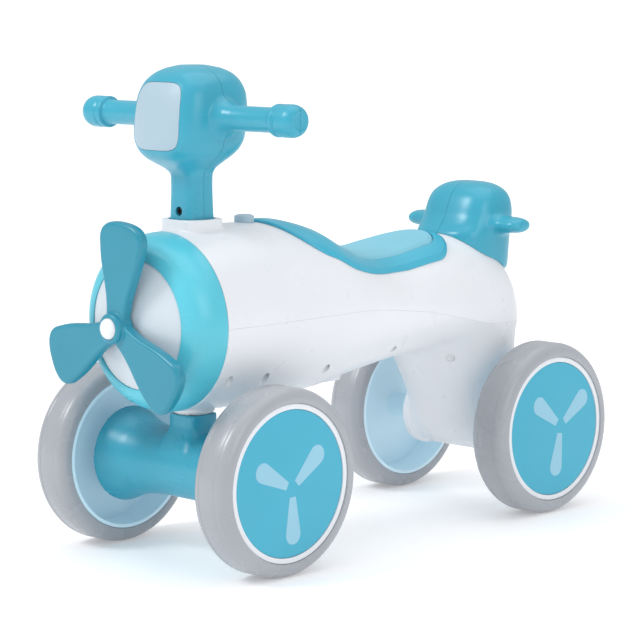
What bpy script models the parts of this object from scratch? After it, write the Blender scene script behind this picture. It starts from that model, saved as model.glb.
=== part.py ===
"""A toddler's push-along ride-on in the shape of a small plane, modelled piece by piece.

Units are metres. -Y is the nose, +X is the rider's left and +Z is up. The wheels stand on z = 0,
and the origin lies under the middle of the whole length. Within the script, lengths along Y are
counted from the middle of the wheelbase, and the empty named car shifts everything to the origin.
"""

import math

import bmesh
import bpy
from mathutils import Vector

# Clearances and walls
SEAT_GAP = 0.0003          # between pieces that rest on each other
RUNNING_GAP = 0.0004       # between pieces that turn or slide on each other
WALL = 0.003               # moulded wall of the fuselage and cowl
HEAD_WALL = 0.0026         # moulded wall of the head and tail

# Stance
OVERALL_LENGTH = 0.5038    # tip of the propeller's cap to the back of the rear wheels
FRONT_HALF_TRACK = 0.0947  # centre line to the middle of the tread
REAR_HALF_TRACK = 0.0857

# Wheels
WHEEL_RADIUS = 0.075
TYRE_WIDTH = 0.036
TYRE_DEPTH = 0.0119        # tread to rim
TYRE_SHOULDER = 0.0096     # radius of the tread's rounded edges
RING_WIDTH = 0.0045        # white ring that shows round the disc
DISC_SINK = 0.002          # how far the disc lies inside the tyre's outer face
DISC_THICKNESS = 0.0025
DISC_LEDGE = 0.004         # step of the rim that the disc rests on
RIM_WALL = 0.0024
HUB_RADIUS = 0.0105
HUB_SINK = 0.012           # tyre's outer face to the hub's outer face
AXLE_RADIUS = 0.004
BUSH_WALL = 0.002
BUSH_FLANGE = 0.0035       # how far a bush's flange stands out round its tube
BUSH_FLANGE_LENGTH = 0.004
NUT_RADIUS = 0.008
NUT_LENGTH = 0.0045

# Spools round the axles: the front yoke's flares into the wheels, the rear leg's stops short of them
YOKE_HALF_WIDTH = 0.078
YOKE_HORN = 0.040
YOKE_WAIST = 0.0278
LEG_HALF_WIDTH = 0.051
LEG_HORN = 0.0300
LEG_WAIST = 0.0286
LEG_BAND = 0.008           # straight band at each end of the rear spool

# Steering
STEM_RADIUS = 0.0095
STEM_WALL = 0.0016
STEERING_BUSH_WALL = 0.0018
STEERING_BUSH_FLANGE = 0.0035
FLANGE_THICKNESS = 0.0015
BUSH_DEPTH = 0.012
BOSS_DROP = 0.0008         # flat boss for the lower bush below the belly
COLUMN_HALF = 0.0155       # half the side of the yoke's square column
COLUMN_POWER = 4.6         # squareness of both columns' sections
# Share of the column's rise above the axle, then how far it has swollen to blend into the spool
COLUMN_SWELLS = ((-0.23, 0.0110), (0.28, 0.0100), (0.49, 0.0055), (0.65, 0.0015), (0.79, 0.0), (1.0, 0.0))
COLLAR_HALF = 0.0200
COLLAR_RISE = 0.0068       # collar above the fuselage
COLLAR_SINK = 0.0012       # head's foot below the collar's top

# Fuselage
NOSE_AXIS = 0.1946         # height of the nose's and propeller's axis
NOSE_RADIUS = 0.0717
NOSE_OVERHANG = 0.0284     # cowl joint ahead of the front axle
TAIL_OVERHANG = 0.031      # fuselage end behind the rear axle
HULL_END_ROUND = 0.042     # length over which the rear end rounds off
HULL_END_POWER = 2.5
PLINTH_HALF_WIDTH = 0.024  # raised flat under the belly
PLINTH_LENGTH = 0.055
PLINTH_BACK = 0.147        # its rear end behind the front axle
PLINTH_DROP = 0.0643       # its face below the nose's axis
POST_RADIUS = 0.0056
RECESS_RADIUS = 0.0038
POST_SEAT = 0.012          # screw seat below the parting line

# Screws
SCREW_RADIUS = 0.0015
SCREW_HEAD_RADIUS = 0.0031
SCREW_HEAD_HEIGHT = 0.002
SCREW_LENGTH = 0.016
TAIL_PAD_DEPTH = 0.006     # pads under the fuselage's wall for the tail's screws
TAIL_SCREW_GRIP = 0.012    # depth of their holes in the tail

# Nose
COWL_LENGTH = 0.0314
DOME_RADIUS = 0.0512
DOME_RISE = 0.0135
DOME_EDGE = 0.003
DOME_LEDGE = 0.004         # cowl's ledge behind the dome's edge
COWL_LIP = 0.0012          # rounded lip of the cowl round the dome
DOME_BOSS_LENGTH = 0.010   # boss for the propeller's screw behind the dome
DOME_BOSS_WALL = 0.0045
SPIGOT_LENGTH = 0.006
SPIGOT_WALL = 0.002

# Propeller
PROPELLER_RADIUS = 0.0835
HUB_CAP_RADIUS = 0.0083
HUB_CAP_RISE = 0.0042
PROPELLER_HUB_RADIUS = 0.0122
PROPELLER_HUB_LENGTH = 0.0152
PROPELLER_TURN = math.radians(6.5)  # first blade from upright
BLADE_ROOT_HALF = 0.0094
BLADE_TIP_HALF = 0.0238
BLADE_THICKNESS = 0.0098
BLADE_ROUND = 0.0038
BLADE_PLACE = 0.0052       # blade's middle plane ahead of the hub's back
BLADE_COUNT = 3
BLADE_PITCH = math.radians(1.5)
PROPELLER_SCREW_RADIUS = 0.0025
PROPELLER_SCREW_RIM = 0.0022  # its head beyond its shaft
HUB_POCKET_DEPTH = 0.0085  # pocket for its head, from the hub's front
CAP_SEAT_DEPTH = 0.003

# Seat
SEAT_THICKNESS = 0.0028
SEAT_HALF_WIDTH = 0.0575
SEAT_SETBACK = 0.070       # seat's front tip behind the steering axis
SEAT_TAIL_SPACE = 0.0115   # seat's rear to the foot of the tail
SEAT_FRONT_ROUND = 0.034   # length over which each end rounds off
SEAT_REAR_ROUND = 0.034
PAD_SETBACK = 0.042        # pad's front tip behind the seat's
SEAT_RIM = 0.0090          # band of the shell that shows round the pad
PAD_DEPTH = 0.0015         # recess for the pad
PAD_CROWN = 0.0008         # pad above the seat shell, along its middle
PAD_SQUEEZE = 0.955        # how the pad's crown falls off to its sides

# Tail
TAIL_RISE = 0.0924         # hood's top above the nose's axis
TAIL_HEM_RISE = 0.0134     # its hem, behind the fuselage
TAIL_HALF_WIDTH = 0.0387
TAIL_FRONT = 0.0285        # upright front of the hood ahead of the rear axle
TAIL_FOOT = 0.0425         # its flared foot ahead of the rear axle
TAIL_REAR = 0.0308
TAIL_POWER = 2.9
FIN_HALF_SPAN = 0.066
FIN_RISE = 0.0559          # above the nose's axis
FIN_HALF_CHORD = 0.0125
FIN_HALF_THICKNESS = 0.0070

# Head
HEAD_HEIGHT = 0.1230       # column foot to the top of the head
HEAD_HALF_WIDTH = 0.0388
HEAD_HALF_DEPTH = 0.0385
HEAD_POWER = 3.1
HANDLE_HEIGHT = 0.0825     # handle's axis above the column foot
HANDLE_HALF_SPAN = 0.1222
HANDLE_RADIUS = 0.0099
HANDLE_BORE = 0.0068
# Distance out from the head's side, then how far the handle has swollen to blend into it
HANDLE_SWELLS = ((-0.001, 0.0075), (0.002, 0.0040), (0.007, 0.0016), (0.015, 0.0))
KNOB_RADIUS = 0.0129
KNOB_LENGTH = 0.0245
KNOB_FACE = 0.0086
PANEL_HALF_WIDTH = 0.0257
PANEL_BOTTOM = 0.0570      # panel edges above the column foot
PANEL_TOP = 0.1100
PANEL_DEPTH = 0.003
PANEL_SINK = 0.0004
HEAD_SCREW_OUT = 0.022
HEAD_SCREW_RISE = 0.021    # above the handle's axis
HEAD_SCREW_SEAT = 0.006    # behind the parting plane
STEM_SCREW_RISE = 0.0075   # above the column's foot
STEM_SCREW_RADIUS = SCREW_RADIUS * 1.3
STEM_SCREW_LENGTH = 0.012
STEM_SCREW_SEAT = 0.0015   # its seat outside the stem

# Button and sound unit
BUTTON_RADIUS = 0.0082
BUTTON_RISE = 0.0070
BUTTON_FLANGE = 0.0018
BUTTON_FLANGE_DROP = 0.0036  # flange's top below the shell's inner face
BUTTON_TRAVEL = 0.0015
BUTTON_STEM_RADIUS = 0.003
RETURN_DOME_HEIGHT = 0.0060  # button's stem above the board
BUTTON_SEAT_SPACE = 0.0042  # button's edge to the seat's tip
UNIT_HALF_WIDTH = 0.017
UNIT_HALF_LENGTH = 0.0185
UNIT_DEPTH = 0.026
UNIT_WALL = 0.0018
BOARD_THICKNESS = 0.0016
BOARD_DROP = 0.0150        # board's top below the shell's inner face
SPEAKER_RADIUS = 0.0125
SPEAKER_HEIGHT = 0.0055

WELD_DISTANCE = 0.00002

# Fineness of the round pieces
HULL_SIDES = 20
HOLLOW_SIDES = 16
LEG_SIDES = 16
WHEEL_SIDES = 20
SPOOL_SIDES = 16
HEAD_SIDES = 16
TAIL_SIDES = 16
HANDLE_SIDES = 12
BUTTON_SIDES = 16
BORE_SIDES = 12
SMALL_SIDES = 8
SCREW_SIDES = 6

# Places worked out from the sizes above
DOME_FRONT = COWL_LENGTH + DOME_RISE
HUB_BACK = DOME_FRONT + 2 * RUNNING_GAP
HUB_FRONT = HUB_BACK + PROPELLER_HUB_LENGTH
WHEELBASE = OVERALL_LENGTH - WHEEL_RADIUS - NOSE_OVERHANG - HUB_FRONT - HUB_CAP_RISE
FRONT_AXLE = -WHEELBASE / 2
REAR_AXLE = WHEELBASE / 2
HULL_FRONT = FRONT_AXLE - NOSE_OVERHANG
HULL_END = REAR_AXLE + TAIL_OVERHANG
HULL_LENGTH = HULL_END - HULL_FRONT
NOSE_TIP = HULL_FRONT - HUB_FRONT - HUB_CAP_RISE
FRAME_SHIFT = -(NOSE_TIP + REAR_AXLE + WHEEL_RADIUS) / 2
TYRE_BORE = WHEEL_RADIUS - TYRE_DEPTH
DISC_RADIUS = TYRE_BORE - SEAT_GAP - RING_WIDTH
TYRE_HALF = TYRE_WIDTH / 2
HUB_OUTER = TYRE_HALF - HUB_SINK
BUSH_BORE = AXLE_RADIUS + RUNNING_GAP
BUSH_RADIUS = BUSH_BORE + BUSH_WALL

# Outlines of the fuselage: share of its length from the nose joint, then the height above the nose's axis
HULL_TOP = (
    (0.00, NOSE_RADIUS), (0.12, 0.0744), (0.23, 0.0734), (0.29, 0.0694), (0.35, 0.0632),
    (0.41, 0.0504), (0.47, 0.0407), (0.52, 0.0378), (0.57, 0.0385), (0.63, 0.0419), (0.69, 0.0453),
    (0.76, 0.0478), (0.82, 0.0478), (0.88, 0.0429), (0.94, 0.0339), (1.00, 0.0204),
)
HULL_SIDE = (
    (0.00, 0.0), (0.38, 0.0004), (0.57, -0.0066), (0.75, -0.0206), (0.83, -0.0271), (1.00, -0.0316),
)
HULL_BELLY = (
    (0.00, -NOSE_RADIUS), (0.13, -0.0746), (0.21, -0.0734), (0.35, -0.0684), (0.41, -0.0641),
    (0.47, -0.0601), (0.53, -0.0564), (0.60, -0.0526), (0.70, -0.0486), (0.85, -0.0456),
    (1.00, -0.0446),
)
HULL_HALF_WIDTH = (
    (0.00, NOSE_RADIUS), (0.13, 0.0738), (0.35, 0.0715), (0.56, 0.0670), (0.75, 0.0625), (0.88, 0.0570),
    (1.00, 0.0510),
)
HULL_POWERS = ((0.00, 2.00), (0.18, 2.04), (0.40, 2.22), (0.70, 2.20), (1.00, 2.25))
HULL_STATIONS = (0.0, 0.09, 0.18, 0.26, 0.34, 0.40, 0.46, 0.52, 0.58, 0.66, 0.74, 0.82, 0.89)
HOLLOW_STATIONS = (0.0, 0.18, 0.26, 0.34, 0.46, 0.52, 0.58, 0.70, 0.82, 0.89)
HULL_END_DROPS = (0.026, 0.012, 0.003)

# Rear leg, from its top down: share of the height from the axle to the nose's axis, half width, and
# reach ahead of and behind the rear axle
LEG_SECTIONS = (
    (0.736, 0.0530, 0.078, 0.0330), (0.610, 0.0570, 0.078, 0.0375), (0.477, 0.0530, 0.072, 0.0390),
    (0.326, 0.0495, 0.064, 0.0325), (0.142, 0.0472, 0.054, 0.0302), (-0.025, 0.0453, 0.043, 0.0280),
    (-0.159, 0.0425, 0.026, 0.0200),
)
LEG_POWER = 2.8

# Head: share of its height, then half width and reach ahead of and behind the stem
HEAD_SECTIONS = (
    (0.00, 0.0149, 0.0149, 0.0149), (0.02, 0.0143, 0.0143, 0.0143), (0.18, 0.0140, 0.0140, 0.0140),
    (0.29, 0.0144, 0.0144, 0.0144), (0.33, 0.0165, 0.0190, 0.0165), (0.37, 0.0228, 0.0275, 0.0210),
    (0.41, 0.0292, 0.0350, 0.0270), (0.46, 0.0345, 0.0395, 0.0330), (0.53, 0.0380, 0.0415, 0.0370),
    (0.63, 0.0390, 0.0412, 0.0390), (0.73, 0.0388, 0.0395, 0.0398), (0.81, 0.0375, 0.0370, 0.0392),
    (0.88, 0.0343, 0.0330, 0.0365), (0.94, 0.0280, 0.0262, 0.0310), (0.98, 0.0190, 0.0172, 0.0222),
    (1.00, 0.0090, 0.0080, 0.0110),
)

# Tail hood from its hem up: share of its rise, share of its half width, how far its front has flared
# out to the foot, then how far its front and rear lie inside their lines
TAIL_SECTIONS = (
    (None, 0.98, 1.0, -0.0020, 0.0040), (0.04, 1.0, 1.0, 0.0, 0.0010), (0.14, 1.0, 1.0, 0.0060, 0.0),
    (0.26, 1.0, 0.0, -0.0010, 0.0), (0.42, 0.995, 0.0, 0.0, 0.0), (0.62, 0.965, 0.0, 0.0025, 0.0015),
    (0.78, 0.88, 0.0, 0.0065, 0.0045), (0.90, 0.71, 0.0, 0.0125, 0.0100), (0.97, 0.50, 0.0, 0.0185, 0.0160),
    (1.0, 0.28, 0.0, 0.0245, 0.0235),
)

# Stub fin from its root out: distance from the root, or from the tip if below 0, then shares of its
# chord and thickness
FIN_SECTIONS = (
    (0.000, 1.30, 1.65), (0.003, 1.12, 1.25), (0.008, 1.03, 1.05), (-0.010, 1.0, 1.0), (-0.004, 0.86, 0.84),
    (-0.001, 0.60, 0.58),
)
FIN_ROOT_DEPTH = 0.006     # how far the fin reaches into the hood's side
FIN_TIP_SHARE = 0.30

# Half width of the seat: share of its length from the front, then share of its greatest
SEAT_WIDTHS = (
    (0.00, 0.87), (0.13, 0.93), (0.28, 1.00), (0.40, 0.95), (0.53, 0.88), (0.65, 0.85), (0.78, 0.805),
    (0.90, 0.765), (1.00, 0.745),
)

# Shell screws: share of the fuselage's length, then distance from the centre line
SHELL_SCREWS = ((0.033, 0.0575), (0.131, 0.0585), (0.311, 0.0565), (0.523, 0.0535), (0.750, 0.0440))


def smooth_value(points, at):
    """Value at a place on a smooth curve through (place, value) points, which never overshoots them."""
    if at <= points[0][0]:
        return points[0][1]
    if at >= points[-1][0]:
        return points[-1][1]
    steps = [b[0] - a[0] for a, b in zip(points, points[1:])]
    rises = [(b[1] - a[1]) / step for a, b, step in zip(points, points[1:], steps)]
    slopes = [rises[0]]
    for before, after in zip(rises, rises[1:]):
        slopes.append(0.0 if before * after <= 0 else 2 * before * after / (before + after))
    slopes.append(rises[-1])
    i = max(k for k in range(len(steps)) if points[k][0] <= at)
    t = (at - points[i][0]) / steps[i]
    start, end = points[i][1], points[i + 1][1]
    value = (1 + 2 * t) * (1 - t) ** 2 * start + t * t * (3 - 2 * t) * end
    return value + steps[i] * (t * (1 - t) ** 2 * slopes[i] - t * t * (1 - t) * slopes[i + 1])


def rounded_ring(half_u, half_v, power, count):
    """(u, v) points round a superellipse: power 2 is an ellipse, and a higher one is squarer."""
    ring = []
    for k in range(count):
        angle = 2 * math.pi * k / count
        u, v = round(math.cos(angle), 9), round(math.sin(angle), 9)
        ring.append((
            half_u * math.copysign(abs(u) ** (2 / power), u),
            half_v * math.copysign(abs(v) ** (2 / power), v),
        ))
    return ring


def loft(rings, curved=True):
    """A closed solid through rings with equal numbers of points, with a flat face at each end.

    The four-sided faces of a curved one aren't flat, so they are halved, alike on the left and right.
    """
    count = len(rings[0])
    points = [point for ring in rings for point in ring]
    faces = [tuple(range(count)), tuple(range(len(points) - count, len(points)))]
    for start in range(0, len(points) - count, count):
        for j in range(count):
            k = (j + 1) % count
            near, far, far_next, near_next = start + j, start + k, start + count + k, start + count + j
            if not curved:
                faces.append((near, far, far_next, near_next))
            elif points[near][0] + points[far][0] > 0:
                faces += [(near, far, far_next), (near, far_next, near_next)]
            else:
                faces += [(near, far, near_next), (far, far_next, near_next)]
    return points, faces


def turned(profile, sides, axis="X", turn=0.0):
    """A solid turned about an axis from (place along it, radius) points.

    A profile that starts and ends at radius 0 is closed by the axis; any other is a closed loop.
    """
    points, rows = [], []
    for along, radius in profile:
        row = []
        for j in range(sides if radius > 0 else 1):
            angle = 2 * math.pi * j / sides + turn
            a, b = radius * round(math.cos(angle), 9), radius * round(math.sin(angle), 9)
            row.append(len(points))
            points.append({"X": (along, a, b), "Y": (a, along, b), "Z": (a, b, along)}[axis])
        rows.append(row)
    pairs = list(zip(rows, rows[1:]))
    if profile[0][1] > 0:
        pairs.append((rows[-1], rows[0]))
    faces = []
    for low, high in pairs:
        for j in range(sides):
            k = (j + 1) % sides
            corners = [low[j % len(low)], low[k % len(low)], high[k % len(high)], high[j % len(high)]]
            faces.append(tuple(dict.fromkeys(corners)))
    return points, faces


def prism(outline, low, high, axis="Z"):
    """An outline of (u, v) points pushed along an axis from low to high."""
    rings = []
    for along in (low, high):
        rings.append([
            {"X": (along, u, v), "Y": (u, along, v), "Z": (u, v, along)}[axis] for u, v in outline
        ])
    return loft(rings, curved=False)


def box(low, high):
    corners = [(low[0], low[1]), (high[0], low[1]), (high[0], high[1]), (low[0], high[1])]
    return prism(corners, low[2], high[2])


def moved(shape, x=0.0, y=0.0, z=0.0):
    points, faces = shape
    return [(p[0] + x, p[1] + y, p[2] + z) for p in points], faces


def joined(shapes):
    """Several separate closed shapes as one."""
    points, faces = [], []
    for shape_points, shape_faces in shapes:
        start = len(points)
        points += shape_points
        faces += [tuple(start + index for index in face) for face in shape_faces]
    return points, faces


def rod(low, high, radius, sides, axis="X", turn=0.0):
    """A plain round bar along an axis."""
    return turned([(low, 0.0), (low, radius), (high, radius), (high, 0.0)], sides, axis, turn)


def arc(centre, radius, start, end, steps):
    """(along, radius) points on an arc between two angles in degrees."""
    points = []
    for i in range(steps + 1):
        angle = math.radians(start + (end - start) * i / steps)
        points.append((centre[0] + radius * math.cos(angle), centre[1] + radius * math.sin(angle)))
    return points


def clear_scene():
    for obj in list(bpy.data.objects):
        bpy.data.objects.remove(obj)


def make_material(name, colour, roughness, metallic=0.0, alpha=1.0):
    material = bpy.data.materials.new(name)
    material.use_nodes = True
    shader = material.node_tree.nodes["Principled BSDF"]
    shader.inputs["Base Color"].default_value = (*colour, 1.0)
    shader.inputs["Roughness"].default_value = roughness
    shader.inputs["Metallic"].default_value = metallic
    shader.inputs["Alpha"].default_value = alpha
    material.diffuse_color = (*colour, alpha)
    return material


def empty(name, parent=None, place=(0.0, 0.0, 0.0), half_turn=False):
    obj = bpy.data.objects.new(name, None)
    obj.empty_display_size = 0.02
    obj.location = place
    obj.rotation_euler[2] = math.pi if half_turn else 0.0
    obj.parent = parent
    bpy.context.collection.objects.link(obj)
    return obj


def add_object(name, shape, parent):
    points, faces = shape
    mesh = bpy.data.meshes.new(name)
    mesh.from_pydata([Vector(point) for point in points], [], faces)
    working = bmesh.new()
    working.from_mesh(mesh)
    bmesh.ops.recalc_face_normals(working, faces=working.faces)
    working.to_mesh(mesh)
    working.free()
    mesh.shade_smooth()
    mesh.set_sharp_from_angle(angle=math.radians(38))
    obj = bpy.data.objects.new(name, mesh)
    obj.parent = parent
    bpy.context.collection.objects.link(obj)
    return obj


def piece(name, shape, material, parent):
    """A real piece: its material is its own copy, named after it."""
    obj = add_object(name, shape, parent)
    own_material = material.copy()
    own_material.name = name + "_material"
    obj.data.materials.append(own_material)
    return obj


def tool(name, shape, parent):
    """A helper shape for Booleans, which isn't part of the object."""
    obj = add_object(name, shape, parent)
    obj.hide_render = True
    obj.display_type = "WIRE"
    return obj


def combine(obj, operation, other):
    """A Boolean, and a weld that clears the specks it leaves where edges nearly meet."""
    modifier = obj.modifiers.new(operation.lower() + "_" + other.name, "BOOLEAN")
    modifier.operation = operation
    modifier.solver = "EXACT"
    modifier.object = other
    weld = obj.modifiers.new("weld_" + other.name, "WELD")
    weld.merge_threshold = WELD_DISTANCE


def screw_shape(length=SCREW_LENGTH, radius=SCREW_RADIUS, head=SCREW_HEAD_RADIUS, depth=SCREW_HEAD_HEIGHT):
    """A pan-head screw along Z: the head's underside is at 0 and the shank points up."""
    return turned([
        (-depth, 0.0), (-depth, head), (0.0, head), (0.0, radius), (length, radius * 0.5), (length, 0.0),
    ], SCREW_SIDES, "Z")


def hull_place(share):
    return HULL_FRONT + share * HULL_LENGTH


def hull_share(y):
    return (y - HULL_FRONT) / HULL_LENGTH


def hull_top(share):
    return NOSE_AXIS + smooth_value(HULL_TOP, share)


def hull_side(share):
    return NOSE_AXIS + smooth_value(HULL_SIDE, share)


def hull_belly(share):
    return NOSE_AXIS + smooth_value(HULL_BELLY, share)


def hull_section(y, grow, scale=1.0, at=None, sides=HULL_SIDES, squeeze=1.0):
    """A ring of the fuselage across Y, grown outwards, and scaled towards its side line's height."""
    share = hull_share(y)
    side = hull_side(share)
    above = (hull_top(share) - side + grow) * scale
    below = (side - hull_belly(share) + grow) * scale
    half = (smooth_value(HULL_HALF_WIDTH, share) + grow) * scale * squeeze
    ring = []
    for u, v in rounded_ring(1.0, 1.0, smooth_value(HULL_POWERS, share), sides):
        ring.append((half * u, y if at is None else at, side + v * (above if v > 0 else below)))
    return ring


def hull_shape(grow=0.0, front=0.0, stations=HULL_STATIONS, sides=HULL_SIDES, squeeze=1.0):
    """The fuselage's outer form, grown outwards and lengthened at the front."""
    rings = [hull_section(HULL_FRONT, grow, at=HULL_FRONT - front, sides=sides, squeeze=squeeze)]
    for share in stations[1:]:
        rings.append(hull_section(hull_place(share), grow, sides=sides, squeeze=squeeze))
    for drop in HULL_END_DROPS:
        y = HULL_END + grow - drop
        scale = (1 - (1 - drop / HULL_END_ROUND) ** HULL_END_POWER) ** (1 / HULL_END_POWER)
        rings.append(hull_section(y, grow, scale, sides=sides, squeeze=squeeze))
    return loft(rings)


def hull_hollow(inset, front):
    """The fuselage's inside, plainer than its outside."""
    return hull_shape(-inset, front, HOLLOW_STATIONS, HOLLOW_SIDES)


def hull_height(x, y, grow=0.0):
    """Height of the fuselage's upper surface, grown outwards, at a place in plan."""
    share = hull_share(y)
    side = hull_side(share)
    half = smooth_value(HULL_HALF_WIDTH, share) + grow
    power = smooth_value(HULL_POWERS, share)
    rise = (1 - min(1.0, abs(x) / half) ** power) ** (1 / power)
    return side + (hull_top(share) - side + grow) * rise


def leg_shape(grow=0.0, sides=LEG_SIDES):
    """The rear leg's upright part, between the fuselage and the axle."""
    rings = []
    for share, half, ahead, behind in LEG_SECTIONS:
        height = WHEEL_RADIUS + share * (NOSE_AXIS - WHEEL_RADIUS)
        middle = REAR_AXLE + (behind - ahead) / 2
        ring = rounded_ring(half + grow, (ahead + behind) / 2 + grow, LEG_POWER, sides)
        rings.append([(u, middle + v, height - grow) for u, v in ring])
    return loft(rings)


def parting_region(above, gap):
    """Everything above, or below, the fuselage's parting line, as a solid across the whole width."""
    shares = [-0.1, 0.0, 0.1, 0.2, 0.3, 0.36, 0.42, 0.48, 0.55, 0.62, 0.7, 0.78, 0.86, 0.94, 1.0, 1.1]
    line = [(hull_place(share), hull_side(share) + gap) for share in shares]
    far = 0.5 if above else -0.1
    outline = line + [(line[-1][0], far), (line[0][0], far)]
    return prism(outline, -0.2, 0.2, "X")


def spool(side):
    """A spool across the car from the (x, radius) points of its right-hand half."""
    right = side + [(side[-1][0], 0.0)]
    return turned([(-x, radius) for x, radius in right[::-1]] + right, SPOOL_SIDES)


def axle_bore():
    return rod(-YOKE_HALF_WIDTH - 0.02, YOKE_HALF_WIDTH + 0.02, AXLE_RADIUS + SEAT_GAP, SMALL_SIDES)


def yoke_spool():
    """The front yoke's spool, whose ends flare like trumpets."""
    swells = ((0.20, 0.0), (0.45, 0.05), (0.68, 0.24), (0.85, 0.60), (1.0, 1.0))
    swell_height = YOKE_HORN - YOKE_WAIST
    return spool([(share * YOKE_HALF_WIDTH, YOKE_WAIST + swell_height * swell) for share, swell in swells])


def leg_spool():
    """The rear leg's spool, nearly straight, with a raised band at each end."""
    band = LEG_HALF_WIDTH - LEG_BAND
    return spool([(band - 0.001, LEG_WAIST), (band, LEG_HORN), (LEG_HALF_WIDTH, LEG_HORN)])


def hub_inner(half_track, spool_half):
    """Place of a hub's inner face, past the bush's flange, from the middle of the tyre."""
    return spool_half - half_track + 2 * SEAT_GAP + BUSH_FLANGE_LENGTH


def wheel_shapes(half_track, spool_half):
    """Tyre, rim, disc and bush about X, with the tyre's middle at 0 and the outside at +X."""
    outer = WHEEL_RADIUS / math.cos(math.pi / WHEEL_SIDES)
    shoulder = outer - TYRE_SHOULDER
    tyre = [(-TYRE_HALF, TYRE_BORE)]
    tyre += arc((TYRE_SHOULDER - TYRE_HALF, shoulder), TYRE_SHOULDER, 180, 90, 2)
    tyre += arc((TYRE_HALF - TYRE_SHOULDER, shoulder), TYRE_SHOULDER, 90, 0, 2)
    tyre.append((TYRE_HALF, TYRE_BORE))

    outside = TYRE_BORE - SEAT_GAP
    face = TYRE_HALF - DISC_SINK
    ledge = face - DISC_THICKNESS - SEAT_GAP
    inside = outside - RIM_WALL
    bore = BUSH_RADIUS + SEAT_GAP
    hub = hub_inner(half_track, spool_half)
    rim = [
        (-TYRE_HALF + 0.0008, outside), (face, outside), (face, DISC_RADIUS + SEAT_GAP),
        (ledge, DISC_RADIUS + SEAT_GAP), (ledge, DISC_RADIUS - DISC_LEDGE),
        (HUB_OUTER, HUB_RADIUS + 0.002), (HUB_OUTER, bore), (hub, bore), (hub, HUB_RADIUS),
        (HUB_OUTER - 0.005, HUB_RADIUS + 0.001), (ledge - 0.004, inside), (-TYRE_HALF + 0.0008, inside),
    ]

    back = face - DISC_THICKNESS
    disc = [(back, 0.0), (back, DISC_RADIUS), (face, DISC_RADIUS), (face, 0.0)]

    flange_end = spool_half - half_track + SEAT_GAP
    flange = BUSH_RADIUS + BUSH_FLANGE
    bush = [
        (flange_end, BUSH_BORE), (flange_end, flange), (hub - SEAT_GAP, flange),
        (hub - SEAT_GAP, BUSH_RADIUS), (HUB_OUTER, BUSH_RADIUS), (HUB_OUTER, BUSH_BORE),
    ]
    half_step = math.pi / WHEEL_SIDES
    return {
        "tyre": turned(tyre, WHEEL_SIDES, turn=half_step),
        "rim": turned(rim, WHEEL_SIDES, turn=half_step),
        "disc": turned(disc, WHEEL_SIDES, turn=half_step),
        "bush": turned(bush, SMALL_SIDES),
    }


def build_wheels(materials, bodies):
    looks = {"tyre": "tyre", "rim": "white", "disc": "teal", "bush": "nylon"}
    ends = (("front", FRONT_HALF_TRACK, YOKE_HALF_WIDTH), ("rear", REAR_HALF_TRACK, LEG_HALF_WIDTH))
    for end, half_track, spool_half in ends:
        for side in ("left", "right"):
            for kind, shape in wheel_shapes(half_track, spool_half).items():
                piece(f"{end}_{side}_{kind}", shape, materials[looks[kind]], bodies[f"{end}_{side}"])


def build_axle(name, half_track, materials, parent, y):
    """A steel rod across the car, with a push nut over each end."""
    end = half_track + HUB_OUTER + SEAT_GAP + NUT_LENGTH
    axle = moved(rod(-end, end, AXLE_RADIUS, SMALL_SIDES), y=y, z=WHEEL_RADIUS)
    piece(name + "_axle", axle, materials["steel"], parent)
    inner = half_track + HUB_OUTER + SEAT_GAP
    bore = AXLE_RADIUS + SEAT_GAP
    for side, sign in (("left", 1), ("right", -1)):
        nut = [
            (inner, bore), (inner, NUT_RADIUS), (inner + 0.001, NUT_RADIUS), (end, AXLE_RADIUS + 0.0016),
            (end, bore),
        ]
        shape = turned([(sign * x, radius) for x, radius in nut], SMALL_SIDES)
        piece(f"{name}_{side}_push_nut", moved(shape, y=y, z=WHEEL_RADIUS), materials["steel"], parent)


def shell_screw_places():
    """(x, y) of every screw that closes the fuselage, left and right of the centre line."""
    places = []
    for share, out in SHELL_SCREWS:
        places += [(out, hull_place(share)), (-out, hull_place(share))]
    return places


def screw_seat(y):
    return hull_side(hull_share(y)) - POST_SEAT


def tail_screw_places():
    return [(TAIL_HALF_WIDTH * 0.45, REAR_AXLE), (-TAIL_HALF_WIDTH * 0.45, REAR_AXLE)]


def steering_heights():
    """Belly, collar top and collar floor at the steering axis."""
    share = hull_share(FRONT_AXLE)
    belly = hull_belly(share)
    collar_top = hull_top(share) + COLLAR_RISE
    floor = collar_top - COLLAR_SINK - 2 * SEAT_GAP - FLANGE_THICKNESS
    return belly, collar_top, floor


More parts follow.
